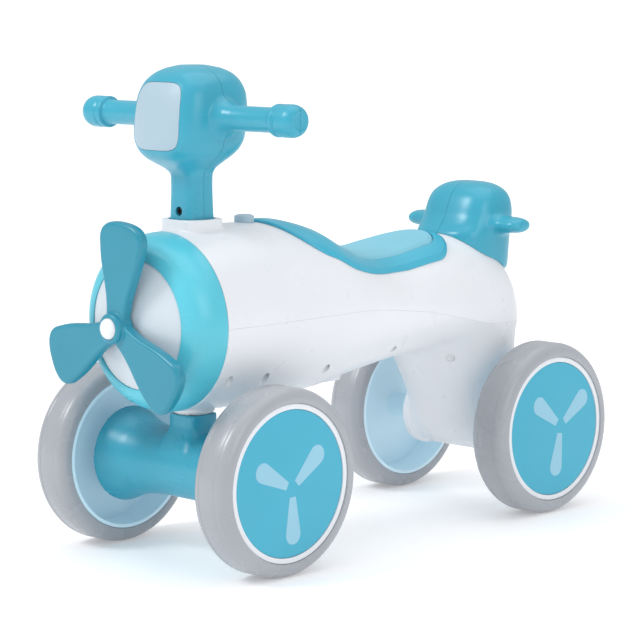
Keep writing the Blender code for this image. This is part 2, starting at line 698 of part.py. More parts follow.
def build_fuselage(materials, car):
    belly, collar_top, floor = steering_heights()
    bush_radius = STEM_RADIUS + RUNNING_GAP + STEERING_BUSH_WALL + SEAT_GAP
    leg = tool("leg_outside", leg_shape(), car)
    rear_spool = tool("rear_spool", moved(leg_spool(), y=REAR_AXLE, z=WHEEL_RADIUS), car)
    hollow = tool("hull_hollow", hull_hollow(WALL, 0.02), car)
    leg_hollow = tool("leg_hollow", leg_shape(-WALL, HOLLOW_SIDES), car)
    leg_floor = tool("leg_floor", box((-0.1, 0.0, 0.0), (0.1, 0.4, WHEEL_RADIUS + AXLE_RADIUS + WALL)), car)
    combine(leg_hollow, "DIFFERENCE", leg_floor)
    mid_wall = tool("mid_wall", hull_hollow(WALL / 2, 0.0), car)
    combine(mid_wall, "UNION", tool("leg_mid_wall", leg_shape(-WALL / 2), car))

    # Screw posts, which end within the wall
    lower_posts, upper_posts, lower_bores, upper_bores = [], [], [], []
    for x, y in shell_screw_places():
        side = hull_side(hull_share(y))
        seat = screw_seat(y)
        pilot = SCREW_RADIUS + SEAT_GAP
        lower_posts.append(moved(rod(0.0, side + 0.01, POST_RADIUS, SMALL_SIDES, "Z"), x, y))
        upper_posts.append(moved(rod(side - 0.01, side + 0.2, POST_RADIUS - 0.001, SCREW_SIDES, "Z"), x, y))
        recess = [
            (0.0, 0.0), (0.0, RECESS_RADIUS), (seat, RECESS_RADIUS), (seat, pilot), (side + 0.02, pilot),
            (side + 0.02, 0.0),
        ]
        lower_bores.append(moved(turned(recess, SCREW_SIDES, "Z"), x, y))
        top = seat + SCREW_LENGTH + 0.001
        upper_bores.append(moved(rod(side - 0.02, top, pilot, SCREW_SIDES, "Z"), x, y))
    lower_post_tool = tool("lower_posts", joined(lower_posts), car)
    combine(lower_post_tool, "INTERSECT", mid_wall)
    upper_post_tool = tool("upper_posts", joined(upper_posts), car)
    combine(upper_post_tool, "INTERSECT", mid_wall)

    lower = piece("fuselage_lower_shell", hull_shape(), materials["white"], car)
    combine(lower, "UNION", leg)
    plinth_back = FRONT_AXLE + PLINTH_BACK
    plinth = box((-PLINTH_HALF_WIDTH, plinth_back - PLINTH_LENGTH, NOSE_AXIS - PLINTH_DROP),
                 (PLINTH_HALF_WIDTH, plinth_back, NOSE_AXIS - PLINTH_DROP + 0.02))
    combine(lower, "UNION", tool("belly_plinth", plinth, car))
    combine(lower, "DIFFERENCE", hollow)
    combine(lower, "DIFFERENCE", leg_hollow)
    combine(lower, "UNION", rear_spool)
    combine(lower, "UNION", lower_post_tool)
    boss_radius = bush_radius + STEERING_BUSH_FLANGE + 0.002
    boss = rod(belly - BOSS_DROP, belly + BUSH_DEPTH, boss_radius, BORE_SIDES, "Z")
    combine(lower, "UNION", tool("belly_boss", moved(boss, y=FRONT_AXLE), car))
    bush_bore = rod(0.0, belly + 3 * BUSH_DEPTH, bush_radius, BORE_SIDES, "Z")
    rear_bore = moved(axle_bore(), y=REAR_AXLE, z=WHEEL_RADIUS)
    lower_cuts = joined(lower_bores + [moved(bush_bore, y=FRONT_AXLE), rear_bore])
    combine(lower, "DIFFERENCE", tool("lower_bores", lower_cuts, car))
    combine(lower, "DIFFERENCE", tool("above_parting", parting_region(True, -SEAT_GAP / 2), car))
    front_trim = box((-0.2, HULL_FRONT - 0.1, 0.0), (0.2, HULL_FRONT + SEAT_GAP, 1.0))
    trim = tool("front_trim", front_trim, car)
    combine(lower, "DIFFERENCE", trim)

    upper = piece("fuselage_upper_shell", hull_shape(), materials["white"], car)
    combine(upper, "DIFFERENCE", hollow)
    combine(upper, "UNION", upper_post_tool)
    collar_rings = []
    top_edge = ((-0.035, 0.0), (-0.0012, 0.0), (-0.0003, -0.0004), (0.0, -0.0012))
    for rise, inset in top_edge:
        ring = rounded_ring(COLLAR_HALF + inset, COLLAR_HALF + inset, COLUMN_POWER, HEAD_SIDES)
        collar_rings.append([(u, FRONT_AXLE + v, collar_top + rise) for u, v in ring])
    collar = tool("collar", loft(collar_rings), car)
    collar_inside = box((-0.1, FRONT_AXLE - 0.1, 0.0), (0.1, FRONT_AXLE + 0.1, floor - BUSH_DEPTH))
    combine(collar, "DIFFERENCE", tool("collar_inside", collar_inside, car))
    combine(upper, "UNION", collar)
    foot_corner = HEAD_SECTIONS[0][1] * math.sqrt(2) * 0.5 ** (1 / COLUMN_POWER)
    sweep = (foot_corner + RUNNING_GAP) / math.cos(math.pi / HEAD_SIDES)
    collar_profile = [
        (floor - 5 * BUSH_DEPTH, 0.0), (floor - 5 * BUSH_DEPTH, bush_radius), (floor, bush_radius),
        (floor, sweep), (collar_top + 0.02, sweep), (collar_top + 0.02, 0.0),
    ]
    collar_bore = turned(collar_profile, HEAD_SIDES, "Z")
    button_y = button_place()
    button_top = hull_height(0.0, button_y)
    button_bore = rod(button_top - 0.03, button_top + 0.03, BUTTON_RADIUS + RUNNING_GAP, BUTTON_SIDES, "Z")
    tail_pads, tail_holes = [], []
    for x, y in tail_screw_places():
        top = hull_height(x, y)
        pad_bottom = top - WALL - TAIL_PAD_DEPTH
        tail_pads.append(moved(rod(pad_bottom, top + 0.01, POST_RADIUS, SCREW_SIDES, "Z"), x, y))
        hole = rod(pad_bottom - 0.02, top + 0.02, SCREW_RADIUS + SEAT_GAP, SCREW_SIDES, "Z")
        tail_holes.append(moved(hole, x, y))
    tail_pad_tool = tool("tail_pads", joined(tail_pads), car)
    combine(tail_pad_tool, "INTERSECT", mid_wall)
    combine(upper, "UNION", tail_pad_tool)
    openings = [moved(collar_bore, y=FRONT_AXLE), moved(button_bore, y=button_y)]
    upper_cuts = joined(upper_bores + tail_holes + openings)
    combine(upper, "DIFFERENCE", tool("upper_bores", upper_cuts, car))
    combine(upper, "DIFFERENCE", tool("below_parting", parting_region(False, SEAT_GAP / 2), car))
    combine(upper, "DIFFERENCE", trim)

    for number, (x, y) in enumerate(shell_screw_places(), 1):
        shape = moved(screw_shape(), x, y, screw_seat(y) - SEAT_GAP)
        piece(f"shell_screw_{number}", shape, materials["steel"], car)


def build_steering_bushes(materials, car):
    belly, _, floor = steering_heights()
    bore = STEM_RADIUS + RUNNING_GAP
    tube = bore + STEERING_BUSH_WALL
    flange = tube + STEERING_BUSH_FLANGE
    under = belly - BOSS_DROP - SEAT_GAP
    lower = [(under - FLANGE_THICKNESS, bore), (under - FLANGE_THICKNESS, flange), (under, flange),
             (under, tube), (belly + BUSH_DEPTH, tube), (belly + BUSH_DEPTH, bore)]
    over = floor + SEAT_GAP
    upper = [(over + FLANGE_THICKNESS, bore), (over + FLANGE_THICKNESS, flange), (over, flange),
             (over, tube), (floor - BUSH_DEPTH, tube), (floor - BUSH_DEPTH, bore)]
    for name, profile in (("lower_steering_bush", lower), ("upper_steering_bush", upper)):
        piece(name, moved(turned(profile, BORE_SIDES, "Z"), y=FRONT_AXLE), materials["nylon"], car)


def yoke_top():
    belly = steering_heights()[0]
    return belly - BOSS_DROP - FLANGE_THICKNESS - 2 * SEAT_GAP


def column_foot():
    return steering_heights()[1] - COLLAR_SINK


def build_steering(materials, steering):
    """The yoke and stem, in the steering empty's frame: its axis is x = y = 0."""
    yoke = piece("front_yoke", moved(yoke_spool(), z=WHEEL_RADIUS), materials["teal"], steering)
    top = yoke_top()
    rings = []
    for rise, swell in COLUMN_SWELLS:
        side = COLUMN_HALF + swell
        height = WHEEL_RADIUS + rise * (top - WHEEL_RADIUS)
        rings.append([(u, v, height) for u, v in rounded_ring(side, side, COLUMN_POWER, HEAD_SIDES)])
    combine(yoke, "UNION", tool("yoke_column", loft(rings), steering))
    stem_bottom = WHEEL_RADIUS + AXLE_RADIUS + 0.005
    socket = STEM_RADIUS + SEAT_GAP
    bore = rod(stem_bottom - SEAT_GAP, top + 0.02, socket, BORE_SIDES, "Z")
    cuts = joined([bore, moved(axle_bore(), z=WHEEL_RADIUS)])
    combine(yoke, "DIFFERENCE", tool("yoke_bores", cuts, steering))

    stem_top = column_foot() + PANEL_BOTTOM - 0.008
    inside = STEM_RADIUS - STEM_WALL
    stem_profile = [
        (stem_bottom, inside), (stem_bottom, STEM_RADIUS), (stem_top, STEM_RADIUS), (stem_top, inside),
    ]
    stem = piece("steering_stem", turned(stem_profile, BORE_SIDES, "Z"), materials["steel"], steering)
    screw_z = column_foot() + STEM_SCREW_RISE
    pilot = STEM_SCREW_RADIUS + SEAT_GAP
    hole = moved(rod(-0.03, 0.0, pilot, SCREW_SIDES, "Y"), z=screw_z)
    combine(stem, "DIFFERENCE", tool("stem_hole", hole, steering))
    build_axle("front", FRONT_HALF_TRACK, materials, steering, 0.0)


def head_rings(grow=0.0, sections=HEAD_SECTIONS, sides=HEAD_SIDES):
    """The head's outer form from the column's foot up, grown outwards."""
    foot = column_foot()
    rings = []
    for share, half_x, ahead, behind in sections:
        power = HEAD_POWER + (COLUMN_POWER - HEAD_POWER) * max(0.0, 1 - share / 0.40)
        height = foot + HEAD_HEIGHT * share + (grow if share > 0.8 else 0.0)
        middle = (behind - ahead) / 2
        ring = rounded_ring(half_x + grow, (ahead + behind) / 2 + grow, power, sides)
        rings.append([(u, middle + v, height) for u, v in ring])
    return rings


def handle_profile():
    """(x, radius) points of a handle from inside the head out to the face of its knob."""
    start = HEAD_HALF_WIDTH - 0.008
    knob = HANDLE_HALF_SPAN - KNOB_LENGTH
    return [
        (start, 0.0), (start, HANDLE_RADIUS + 0.0085),
        *[(HEAD_HALF_WIDTH + out, HANDLE_RADIUS + swell) for out, swell in HANDLE_SWELLS],
        (knob - 0.0008, HANDLE_RADIUS),
        (knob, KNOB_RADIUS), (knob + 0.0042, KNOB_RADIUS), (knob + 0.0054, KNOB_RADIUS - 0.0010),
        (knob + 0.0076, KNOB_RADIUS), (HANDLE_HALF_SPAN - 0.0070, KNOB_RADIUS),
        (HANDLE_HALF_SPAN - 0.0024, KNOB_RADIUS - 0.0016), (HANDLE_HALF_SPAN, KNOB_FACE),
        (HANDLE_HALF_SPAN, 0.0),
    ]


def panel_outline(grow=0.0):
    """(x, z) points of the face panel: a rounded shield, a little narrower at its top."""
    foot = column_foot()
    middle = foot + (PANEL_TOP + PANEL_BOTTOM) / 2
    half_height = (PANEL_TOP - PANEL_BOTTOM) / 2 + grow
    outline = []
    for u, v in rounded_ring(PANEL_HALF_WIDTH + grow, half_height, 5.0, HEAD_SIDES):
        taper = 1 - 0.07 * max(0.0, v / half_height)
        outline.append((u * taper, middle + v))
    return outline


def head_screw_places():
    height = column_foot() + HANDLE_HEIGHT + HEAD_SCREW_RISE
    return [(HEAD_SCREW_OUT, height), (-HEAD_SCREW_OUT, height)]


def build_head(materials, steering):
    foot = column_foot()
    handle_z = foot + HANDLE_HEIGHT
    outside = loft(head_rings())
    handles, handle_bores = [], []
    for sign in (1, -1):
        grip = [(sign * x, radius) for x, radius in handle_profile()]
        handles.append(moved(turned(grip, HANDLE_SIDES), z=handle_z))
        bore_end = HANDLE_HALF_SPAN - 2 * HEAD_WALL
        handle_bores.append(moved(rod(0.0, sign * bore_end, HANDLE_BORE, SMALL_SIDES), z=handle_z))
    left_handle = tool("left_handle", handles[0], steering)
    right_handle = tool("right_handle", handles[1], steering)
    cavity = tool("head_cavity", loft(head_rings(-HEAD_WALL, HEAD_SECTIONS[6::2], HOLLOW_SIDES)), steering)
    left_bore = tool("left_handle_bore", handle_bores[0], steering)
    right_bore = tool("right_handle_bore", handle_bores[1], steering)

    socket = STEM_RADIUS + SEAT_GAP
    stem_room = foot + PANEL_BOTTOM
    column_bore = rod(foot - 0.01, stem_room, socket, BORE_SIDES, "Z")
    screw_z = foot + STEM_SCREW_RISE
    stem_screw_seat = -STEM_RADIUS - STEM_SCREW_SEAT
    stem_screw_profile = [
        (-0.05, 0.0), (-0.05, RECESS_RADIUS), (stem_screw_seat, RECESS_RADIUS),
        (stem_screw_seat, STEM_SCREW_RADIUS + SEAT_GAP), (0.0, STEM_SCREW_RADIUS + SEAT_GAP), (0.0, 0.0),
    ]
    stem_screw_bore = moved(turned(stem_screw_profile, SMALL_SIDES, "Y"), z=screw_z)
    room_prism = prism(panel_outline(SEAT_GAP), -0.2, -HEAD_HALF_DEPTH * 0.4, "Y")
    panel_room = tool("panel_room", room_prism, steering)
    behind_panel = tool("behind_panel", loft(head_rings(-PANEL_DEPTH - PANEL_SINK)), steering)
    combine(panel_room, "DIFFERENCE", behind_panel)

    posts, pilots, recesses = [], [], []
    for x, z in head_screw_places():
        posts.append(moved(rod(-0.1, 0.1, POST_RADIUS, SMALL_SIDES, "Y", 0.2), x, 0.0, z))
        pilots.append(moved(rod(-0.011, 0.05, SCREW_RADIUS + SEAT_GAP, SCREW_SIDES, "Y"), x, 0.0, z))
        recesses.append(moved(rod(HEAD_SCREW_SEAT, 0.1, RECESS_RADIUS, SMALL_SIDES, "Y"), x, 0.0, z))
    post_tool = tool("head_posts", joined(posts), steering)
    combine(post_tool, "INTERSECT", tool("head_mid_wall", loft(head_rings(-HEAD_WALL / 2)), steering))
    behind_wall = loft(head_rings(-PANEL_DEPTH - PANEL_SINK - HEAD_WALL, HEAD_SECTIONS[6::2], HOLLOW_SIDES))
    inner_floor = tool("head_behind_panel_wall", behind_wall, steering)

    halves = (
        ("head_front_shell", box((-0.2, -SEAT_GAP / 2, 0.0), (0.2, 0.3, 0.6)), [panel_room],
         [stem_screw_bore, *pilots]),
        ("head_rear_shell", box((-0.2, -0.3, 0.0), (0.2, SEAT_GAP / 2, 0.6)), [], [*pilots, *recesses]),
    )
    for name, far_side, rooms, bores in halves:
        shell = piece(name, outside, materials["teal"], steering)
        combine(shell, "UNION", left_handle)
        combine(shell, "UNION", right_handle)
        combine(shell, "DIFFERENCE", inner_floor if rooms else cavity)
        combine(shell, "UNION", post_tool)
        combine(shell, "DIFFERENCE", left_bore)
        combine(shell, "DIFFERENCE", right_bore)
        for room in rooms:
            combine(shell, "DIFFERENCE", room)
        combine(shell, "DIFFERENCE", tool(name + "_column_bore", column_bore, steering))
        for number, bore in enumerate(bores):
            combine(shell, "DIFFERENCE", tool(f"{name}_bore_{number}", bore, steering))
        combine(shell, "DIFFERENCE", tool(name + "_far_side", far_side, steering))

    panel = piece("face_panel", loft(head_rings(-PANEL_SINK)), materials["frosted"], steering)
    inside_panel = tool("inside_panel", loft(head_rings(-PANEL_DEPTH - PANEL_SINK + SEAT_GAP)), steering)
    panel_prism = prism(panel_outline(), -0.2, -HEAD_HALF_DEPTH * 0.5, "Y")
    combine(panel, "INTERSECT", tool("panel_prism", panel_prism, steering))
    combine(panel, "DIFFERENCE", inside_panel)

    for side, (x, z) in zip(("left", "right"), head_screw_places()):
        points, faces = screw_shape()
        turned_round = [(px, -pz, py) for px, py, pz in points]
        shape = moved((turned_round, faces), x, HEAD_SCREW_SEAT + SEAT_GAP, z)
        piece(f"head_screw_{side}", shape, materials["steel"], steering)
    points, faces = screw_shape(STEM_SCREW_LENGTH, STEM_SCREW_RADIUS)
    facing_rear = [(px, pz, py) for px, py, pz in points]
    shape = moved((facing_rear, faces), 0.0, stem_screw_seat - SEAT_GAP, screw_z)
    piece("stem_screw", shape, materials["dark_steel"], steering)


def build_nose(materials, car):
    """Cowl, dome and propeller screw, turned about the nose's axis. Lengths run forwards from the joint."""
    opening = DOME_RADIUS + SEAT_GAP
    lip = opening + COWL_LIP
    swell = NOSE_RADIUS - lip
    outer = []
    for i in range(6):
        angle = math.radians(90 * i / 5)
        outer.append((COWL_LENGTH * math.sin(angle), lip + swell * math.cos(angle)))
    inner = []
    for i in range(3):
        angle = math.radians(72 * (2 - i) / 2)
        inner.append(((COWL_LENGTH - WALL) * math.sin(angle), lip - WALL + swell * math.cos(angle)))
    ledge = COWL_LENGTH - DOME_EDGE - SEAT_GAP
    spigot = (NOSE_RADIUS - WALL) * math.cos(math.pi / HOLLOW_SIDES) - SEAT_GAP
    cowl = outer + [
        (COWL_LENGTH, opening), (ledge, opening), (ledge, opening - DOME_LEDGE),
        (ledge - WALL, opening - DOME_LEDGE), *inner[:-1], (0.004, spigot - SPIGOT_WALL),
        (-SPIGOT_LENGTH, spigot - SPIGOT_WALL), (-SPIGOT_LENGTH, spigot), (0.0, spigot),
    ]
    shaft = PROPELLER_SCREW_RADIUS
    dome = [(COWL_LENGTH - DOME_EDGE, DOME_RADIUS)]
    for i in range(5):
        share = i / 4
        radius = DOME_RADIUS * (1 - share) + (shaft + SEAT_GAP) * share
        dome.append((COWL_LENGTH - 0.0006 + (DOME_RISE + 0.0006) * (1 - (radius / DOME_RADIUS) ** 2), radius))
    boss_back = COWL_LENGTH - DOME_BOSS_LENGTH
    dome += [
        (boss_back, shaft + SEAT_GAP), (boss_back, shaft + DOME_BOSS_WALL),
        (COWL_LENGTH - DOME_EDGE, shaft + DOME_BOSS_WALL + 0.001),
    ]

    def facing_forward(profile, sides):
        shape = turned([(-along, radius) for along, radius in profile], sides, "Y")
        return moved(shape, y=HULL_FRONT, z=NOSE_AXIS)

    piece("nose_cowl", facing_forward(cowl, HULL_SIDES), materials["teal"], car)
    piece("nose_dome", facing_forward(dome, HULL_SIDES), materials["white"], car)
    head_back = HUB_FRONT - HUB_POCKET_DEPTH + 2 * RUNNING_GAP
    head_front = head_back + 0.002
    head = shaft + PROPELLER_SCREW_RIM
    screw = [
        (boss_back + 0.001, 0.0), (boss_back + 0.001, shaft), (head_back, shaft), (head_back, head),
        (head_front, head), (head_front, 0.0),
    ]
    piece("propeller_screw", facing_forward(screw, SMALL_SIDES), materials["steel"], car)


def blade_outline():
    """(across, out) points of a paddle blade that widens to a round tip."""
    root = PROPELLER_HUB_RADIUS * 0.55
    shoulder = PROPELLER_RADIUS - BLADE_TIP_HALF * 0.62
    right = [(BLADE_ROOT_HALF, root), (BLADE_ROOT_HALF * 1.15, root + 0.012)]
    right.append((BLADE_TIP_HALF * 0.90, shoulder - 0.014))
    for i in range(4):
        angle = math.radians(90 * i / 3)
        across = BLADE_TIP_HALF * math.cos(angle) ** 0.8
        right.append((across, shoulder + (PROPELLER_RADIUS - shoulder) * math.sin(angle) ** 0.8))
    return right + [(-across, out) for across, out in right[-2::-1]]


def blade_shape():
    """One blade pointing up +Z, thick and round at its edges."""
    half = BLADE_THICKNESS / 2
    rings = []
    centre = (PROPELLER_RADIUS + PROPELLER_HUB_RADIUS) / 2
    for along, inset in ((-half, BLADE_ROUND * 0.8), (-half + BLADE_ROUND * 0.8, 0.0),
                         (half - BLADE_ROUND * 0.8, 0.0), (half, BLADE_ROUND * 0.8)):
        ring = []
        for across, out in blade_outline():
            narrow = 1 - inset / BLADE_TIP_HALF
            shorten = 1 - inset / (PROPELLER_RADIUS - centre)
            ring.append((across * narrow, along, centre + (out - centre) * shorten))
        rings.append(ring)
    return loft(rings)


def build_propeller(materials, propeller):
    """Hub, blades and cap in the propeller empty's frame: its axis is Y through 0."""
    length = PROPELLER_HUB_LENGTH
    bore = PROPELLER_SCREW_RADIUS + RUNNING_GAP
    pocket = PROPELLER_SCREW_RADIUS + PROPELLER_SCREW_RIM + RUNNING_GAP
    cap_seat = HUB_CAP_RADIUS + SEAT_GAP
    hub = [
        (0.0, 0.0), (0.0, PROPELLER_HUB_RADIUS + 0.0006), (-0.004, PROPELLER_HUB_RADIUS),
        (-length + 0.0018, PROPELLER_HUB_RADIUS), (-length, PROPELLER_HUB_RADIUS - 0.0016), (-length, 0.0),
    ]
    body = piece("propeller", turned(hub, BUTTON_SIDES, "Y"), materials["teal"], propeller)
    points, faces = blade_shape()
    for number in range(BLADE_COUNT):
        turn = PROPELLER_TURN + 2 * math.pi * number / BLADE_COUNT
        placed = []
        for x, y, z in points:
            tilted_x = x * math.cos(BLADE_PITCH) - y * math.sin(BLADE_PITCH)
            tilted_y = x * math.sin(BLADE_PITCH) + y * math.cos(BLADE_PITCH) - BLADE_PLACE
            placed.append((
                tilted_x * math.cos(turn) + z * math.sin(turn), tilted_y,
                z * math.cos(turn) - tilted_x * math.sin(turn),
            ))
        combine(body, "UNION", tool(f"blade_{number + 1}", (placed, faces), propeller))
    pocket_end, cap_end = HUB_POCKET_DEPTH - length, CAP_SEAT_DEPTH - length
    bores = [
        (0.01, 0.0), (0.01, bore), (pocket_end, bore), (pocket_end, pocket), (cap_end, pocket),
        (cap_end, cap_seat), (-length - 0.01, cap_seat), (-length - 0.01, 0.0),
    ]
    combine(body, "DIFFERENCE", tool("hub_bores", turned(bores, BUTTON_SIDES, "Y"), propeller))

    cap = [(cap_end - SEAT_GAP, 0.0), (cap_end - SEAT_GAP, HUB_CAP_RADIUS)]
    for i in range(3):
        angle = math.radians(30 * i)
        cap.append((-length - HUB_CAP_RISE * math.sin(angle), HUB_CAP_RADIUS * math.cos(angle)))
    cap.append((-length - HUB_CAP_RISE, 0.0))
    piece("propeller_cap", turned(cap, BUTTON_SIDES, "Y"), materials["white"], propeller)


def seat_outline(inset=0.0, setback=0.0):
    """(x, y) points of the saddle in plan, moved inwards: blunt in front and round at the rear."""
    seat_front = FRONT_AXLE + SEAT_SETBACK
    front = seat_front + setback
    rear = REAR_AXLE - TAIL_FOOT - SEAT_TAIL_SPACE
    straight = rear - front - SEAT_FRONT_ROUND - SEAT_REAR_ROUND
    middle = [front + SEAT_FRONT_ROUND + straight * i / 6 for i in range(7)]
    steps = [1 - math.cos(math.radians(90 * i / 5)) for i in range(1, 5)]
    places = [front + SEAT_FRONT_ROUND * step for step in steps] + middle
    places += [rear - SEAT_REAR_ROUND * step for step in steps[::-1]]
    right = []
    for y in places:
        half = SEAT_HALF_WIDTH * smooth_value(SEAT_WIDTHS, (y - seat_front) / (rear - seat_front))
        into = min(1.0, (y - front) / SEAT_FRONT_ROUND, (rear - y) / SEAT_REAR_ROUND)
        right.append((half * math.sqrt(1 - (1 - into) ** 2), y))
    outline = [(0.0, front)] + right + [(0.0, rear)] + [(-x, y) for x, y in right[::-1]]
    inner = []
    for before, (x, y), after in zip(outline[-1:] + outline[:-1], outline, outline[1:] + outline[:1]):
        along = Vector((after[0] - before[0], after[1] - before[1])).normalized()
        inner.append((x - inset * along.y, y + inset * along.x))
    return inner


def build_seat(materials, car):
    low, high = NOSE_AXIS, NOSE_AXIS + 0.2
    outline = tool("seat_prism", prism(seat_outline(), low, high), car)
    shell = piece("seat_shell", hull_shape(SEAT_THICKNESS), materials["teal"], car)
    combine(shell, "INTERSECT", outline)
    combine(shell, "DIFFERENCE", tool("under_seat", hull_shape(SEAT_GAP), car))
    pad_floor = SEAT_THICKNESS - PAD_DEPTH
    pad_room = tool("pad_room", prism(seat_outline(SEAT_RIM, PAD_SETBACK), low, high), car)
    combine(pad_room, "DIFFERENCE", tool("pad_room_floor", hull_shape(pad_floor), car))
    combine(shell, "DIFFERENCE", pad_room)
    crown = hull_shape(SEAT_THICKNESS + PAD_CROWN, squeeze=PAD_SQUEEZE)
    pad = piece("seat_pad", crown, materials["pad"], car)
    pad_prism = prism(seat_outline(SEAT_RIM + SEAT_GAP, PAD_SETBACK), low, high)
    combine(pad, "INTERSECT", tool("pad_prism", pad_prism, car))
    combine(pad, "DIFFERENCE", tool("under_pad", hull_shape(pad_floor + SEAT_GAP), car))


def tail_rings(grow=0.0, lower=0.0, sides=TAIL_SIDES):
    """The tail hood from its hem up: a squarish dome with a foot that flares towards the seat."""
    foot = hull_height(0.0, REAR_AXLE - TAIL_FOOT)
    rise = NOSE_AXIS + TAIL_RISE - foot
    hem = (NOSE_AXIS + TAIL_HEM_RISE - lower - foot) / rise
    rings = []
    for share, size, flare, front_inset, rear_inset in TAIL_SECTIONS:
        share = hem if share is None else share
        ahead = TAIL_FRONT + (TAIL_FOOT - TAIL_FRONT) * flare - front_inset
        behind = TAIL_REAR - rear_inset
        half_x = TAIL_HALF_WIDTH * size + grow
        half_y = (ahead + behind) / 2 + grow
        middle = REAR_AXLE + (behind - ahead) / 2
        height = foot + rise * share + (grow if share > 0.5 else 0.0)
        rings.append([(u, middle + v, height) for u, v in rounded_ring(half_x, half_y, TAIL_POWER, sides)])
    return rings


def fin_shape(sign):
    """A stub fin from inside the hood's side to its round tip."""
    rings = []
    sections = [(TAIL_HALF_WIDTH - FIN_ROOT_DEPTH, *FIN_SECTIONS[0][1:])]
    for reach, chord, thick in FIN_SECTIONS:
        sections.append(((TAIL_HALF_WIDTH if reach >= 0 else FIN_HALF_SPAN) + reach, chord, thick))
    sections.append((FIN_HALF_SPAN, FIN_TIP_SHARE, FIN_TIP_SHARE))
    for out, chord, thick in sections:
        ring = rounded_ring(FIN_HALF_CHORD * chord, FIN_HALF_THICKNESS * thick, 2.0, SMALL_SIDES)
        rings.append([(sign * out, REAR_AXLE + u, NOSE_AXIS + FIN_RISE + v) for u, v in ring])
    return loft(rings)


def build_tail(materials, car):
    under = tool("under_tail", hull_shape(SEAT_GAP), car)
    cavity = tool("tail_cavity", loft(tail_rings(-HEAD_WALL, 0.02, HOLLOW_SIDES)), car)
    seat_room = tool("tail_seat_room", prism(seat_outline(-SEAT_GAP), NOSE_AXIS, NOSE_AXIS + 0.2), car)
    outside = tool("tail_outside", loft(tail_rings()), car)
    for side, sign in (("left", 1), ("right", -1)):
        shell = piece(f"tail_{side}_shell", loft(tail_rings()), materials["teal"], car)
        combine(shell, "UNION", tool(f"{side}_fin", fin_shape(sign), car))
        combine(shell, "DIFFERENCE", cavity)
        x, y = tail_screw_places()[0 if sign > 0 else 1]
        top = hull_height(x, y)
        post_shape = rod(top - 0.02, top + 0.1, POST_RADIUS - 0.001, SMALL_SIDES, "Z")
        post = tool(f"{side}_tail_post", moved(post_shape, x, y), car)
        combine(post, "INTERSECT", outside)
        combine(shell, "UNION", post)
        bore = rod(top - 0.03, top + TAIL_SCREW_GRIP, SCREW_RADIUS + SEAT_GAP, SCREW_SIDES, "Z")
        combine(shell, "DIFFERENCE", tool(f"{side}_tail_bore", moved(bore, x, y), car))
        combine(shell, "DIFFERENCE", under)
        combine(shell, "DIFFERENCE", seat_room)
        past_seam = sorted((sign * SEAT_GAP / 2, -sign * 0.2))
        far = box((past_seam[0], 0.0, 0.0), (past_seam[1], 0.5, 0.5))
        combine(shell, "DIFFERENCE", tool(f"{side}_far_side", far, car))
        seat = top - WALL - TAIL_PAD_DEPTH - SEAT_GAP
        piece(f"tail_screw_{side}", moved(screw_shape(), x, y, seat), materials["steel"], car)


def button_place():
    return FRONT_AXLE + SEAT_SETBACK - BUTTON_SEAT_SPACE - BUTTON_RADIUS


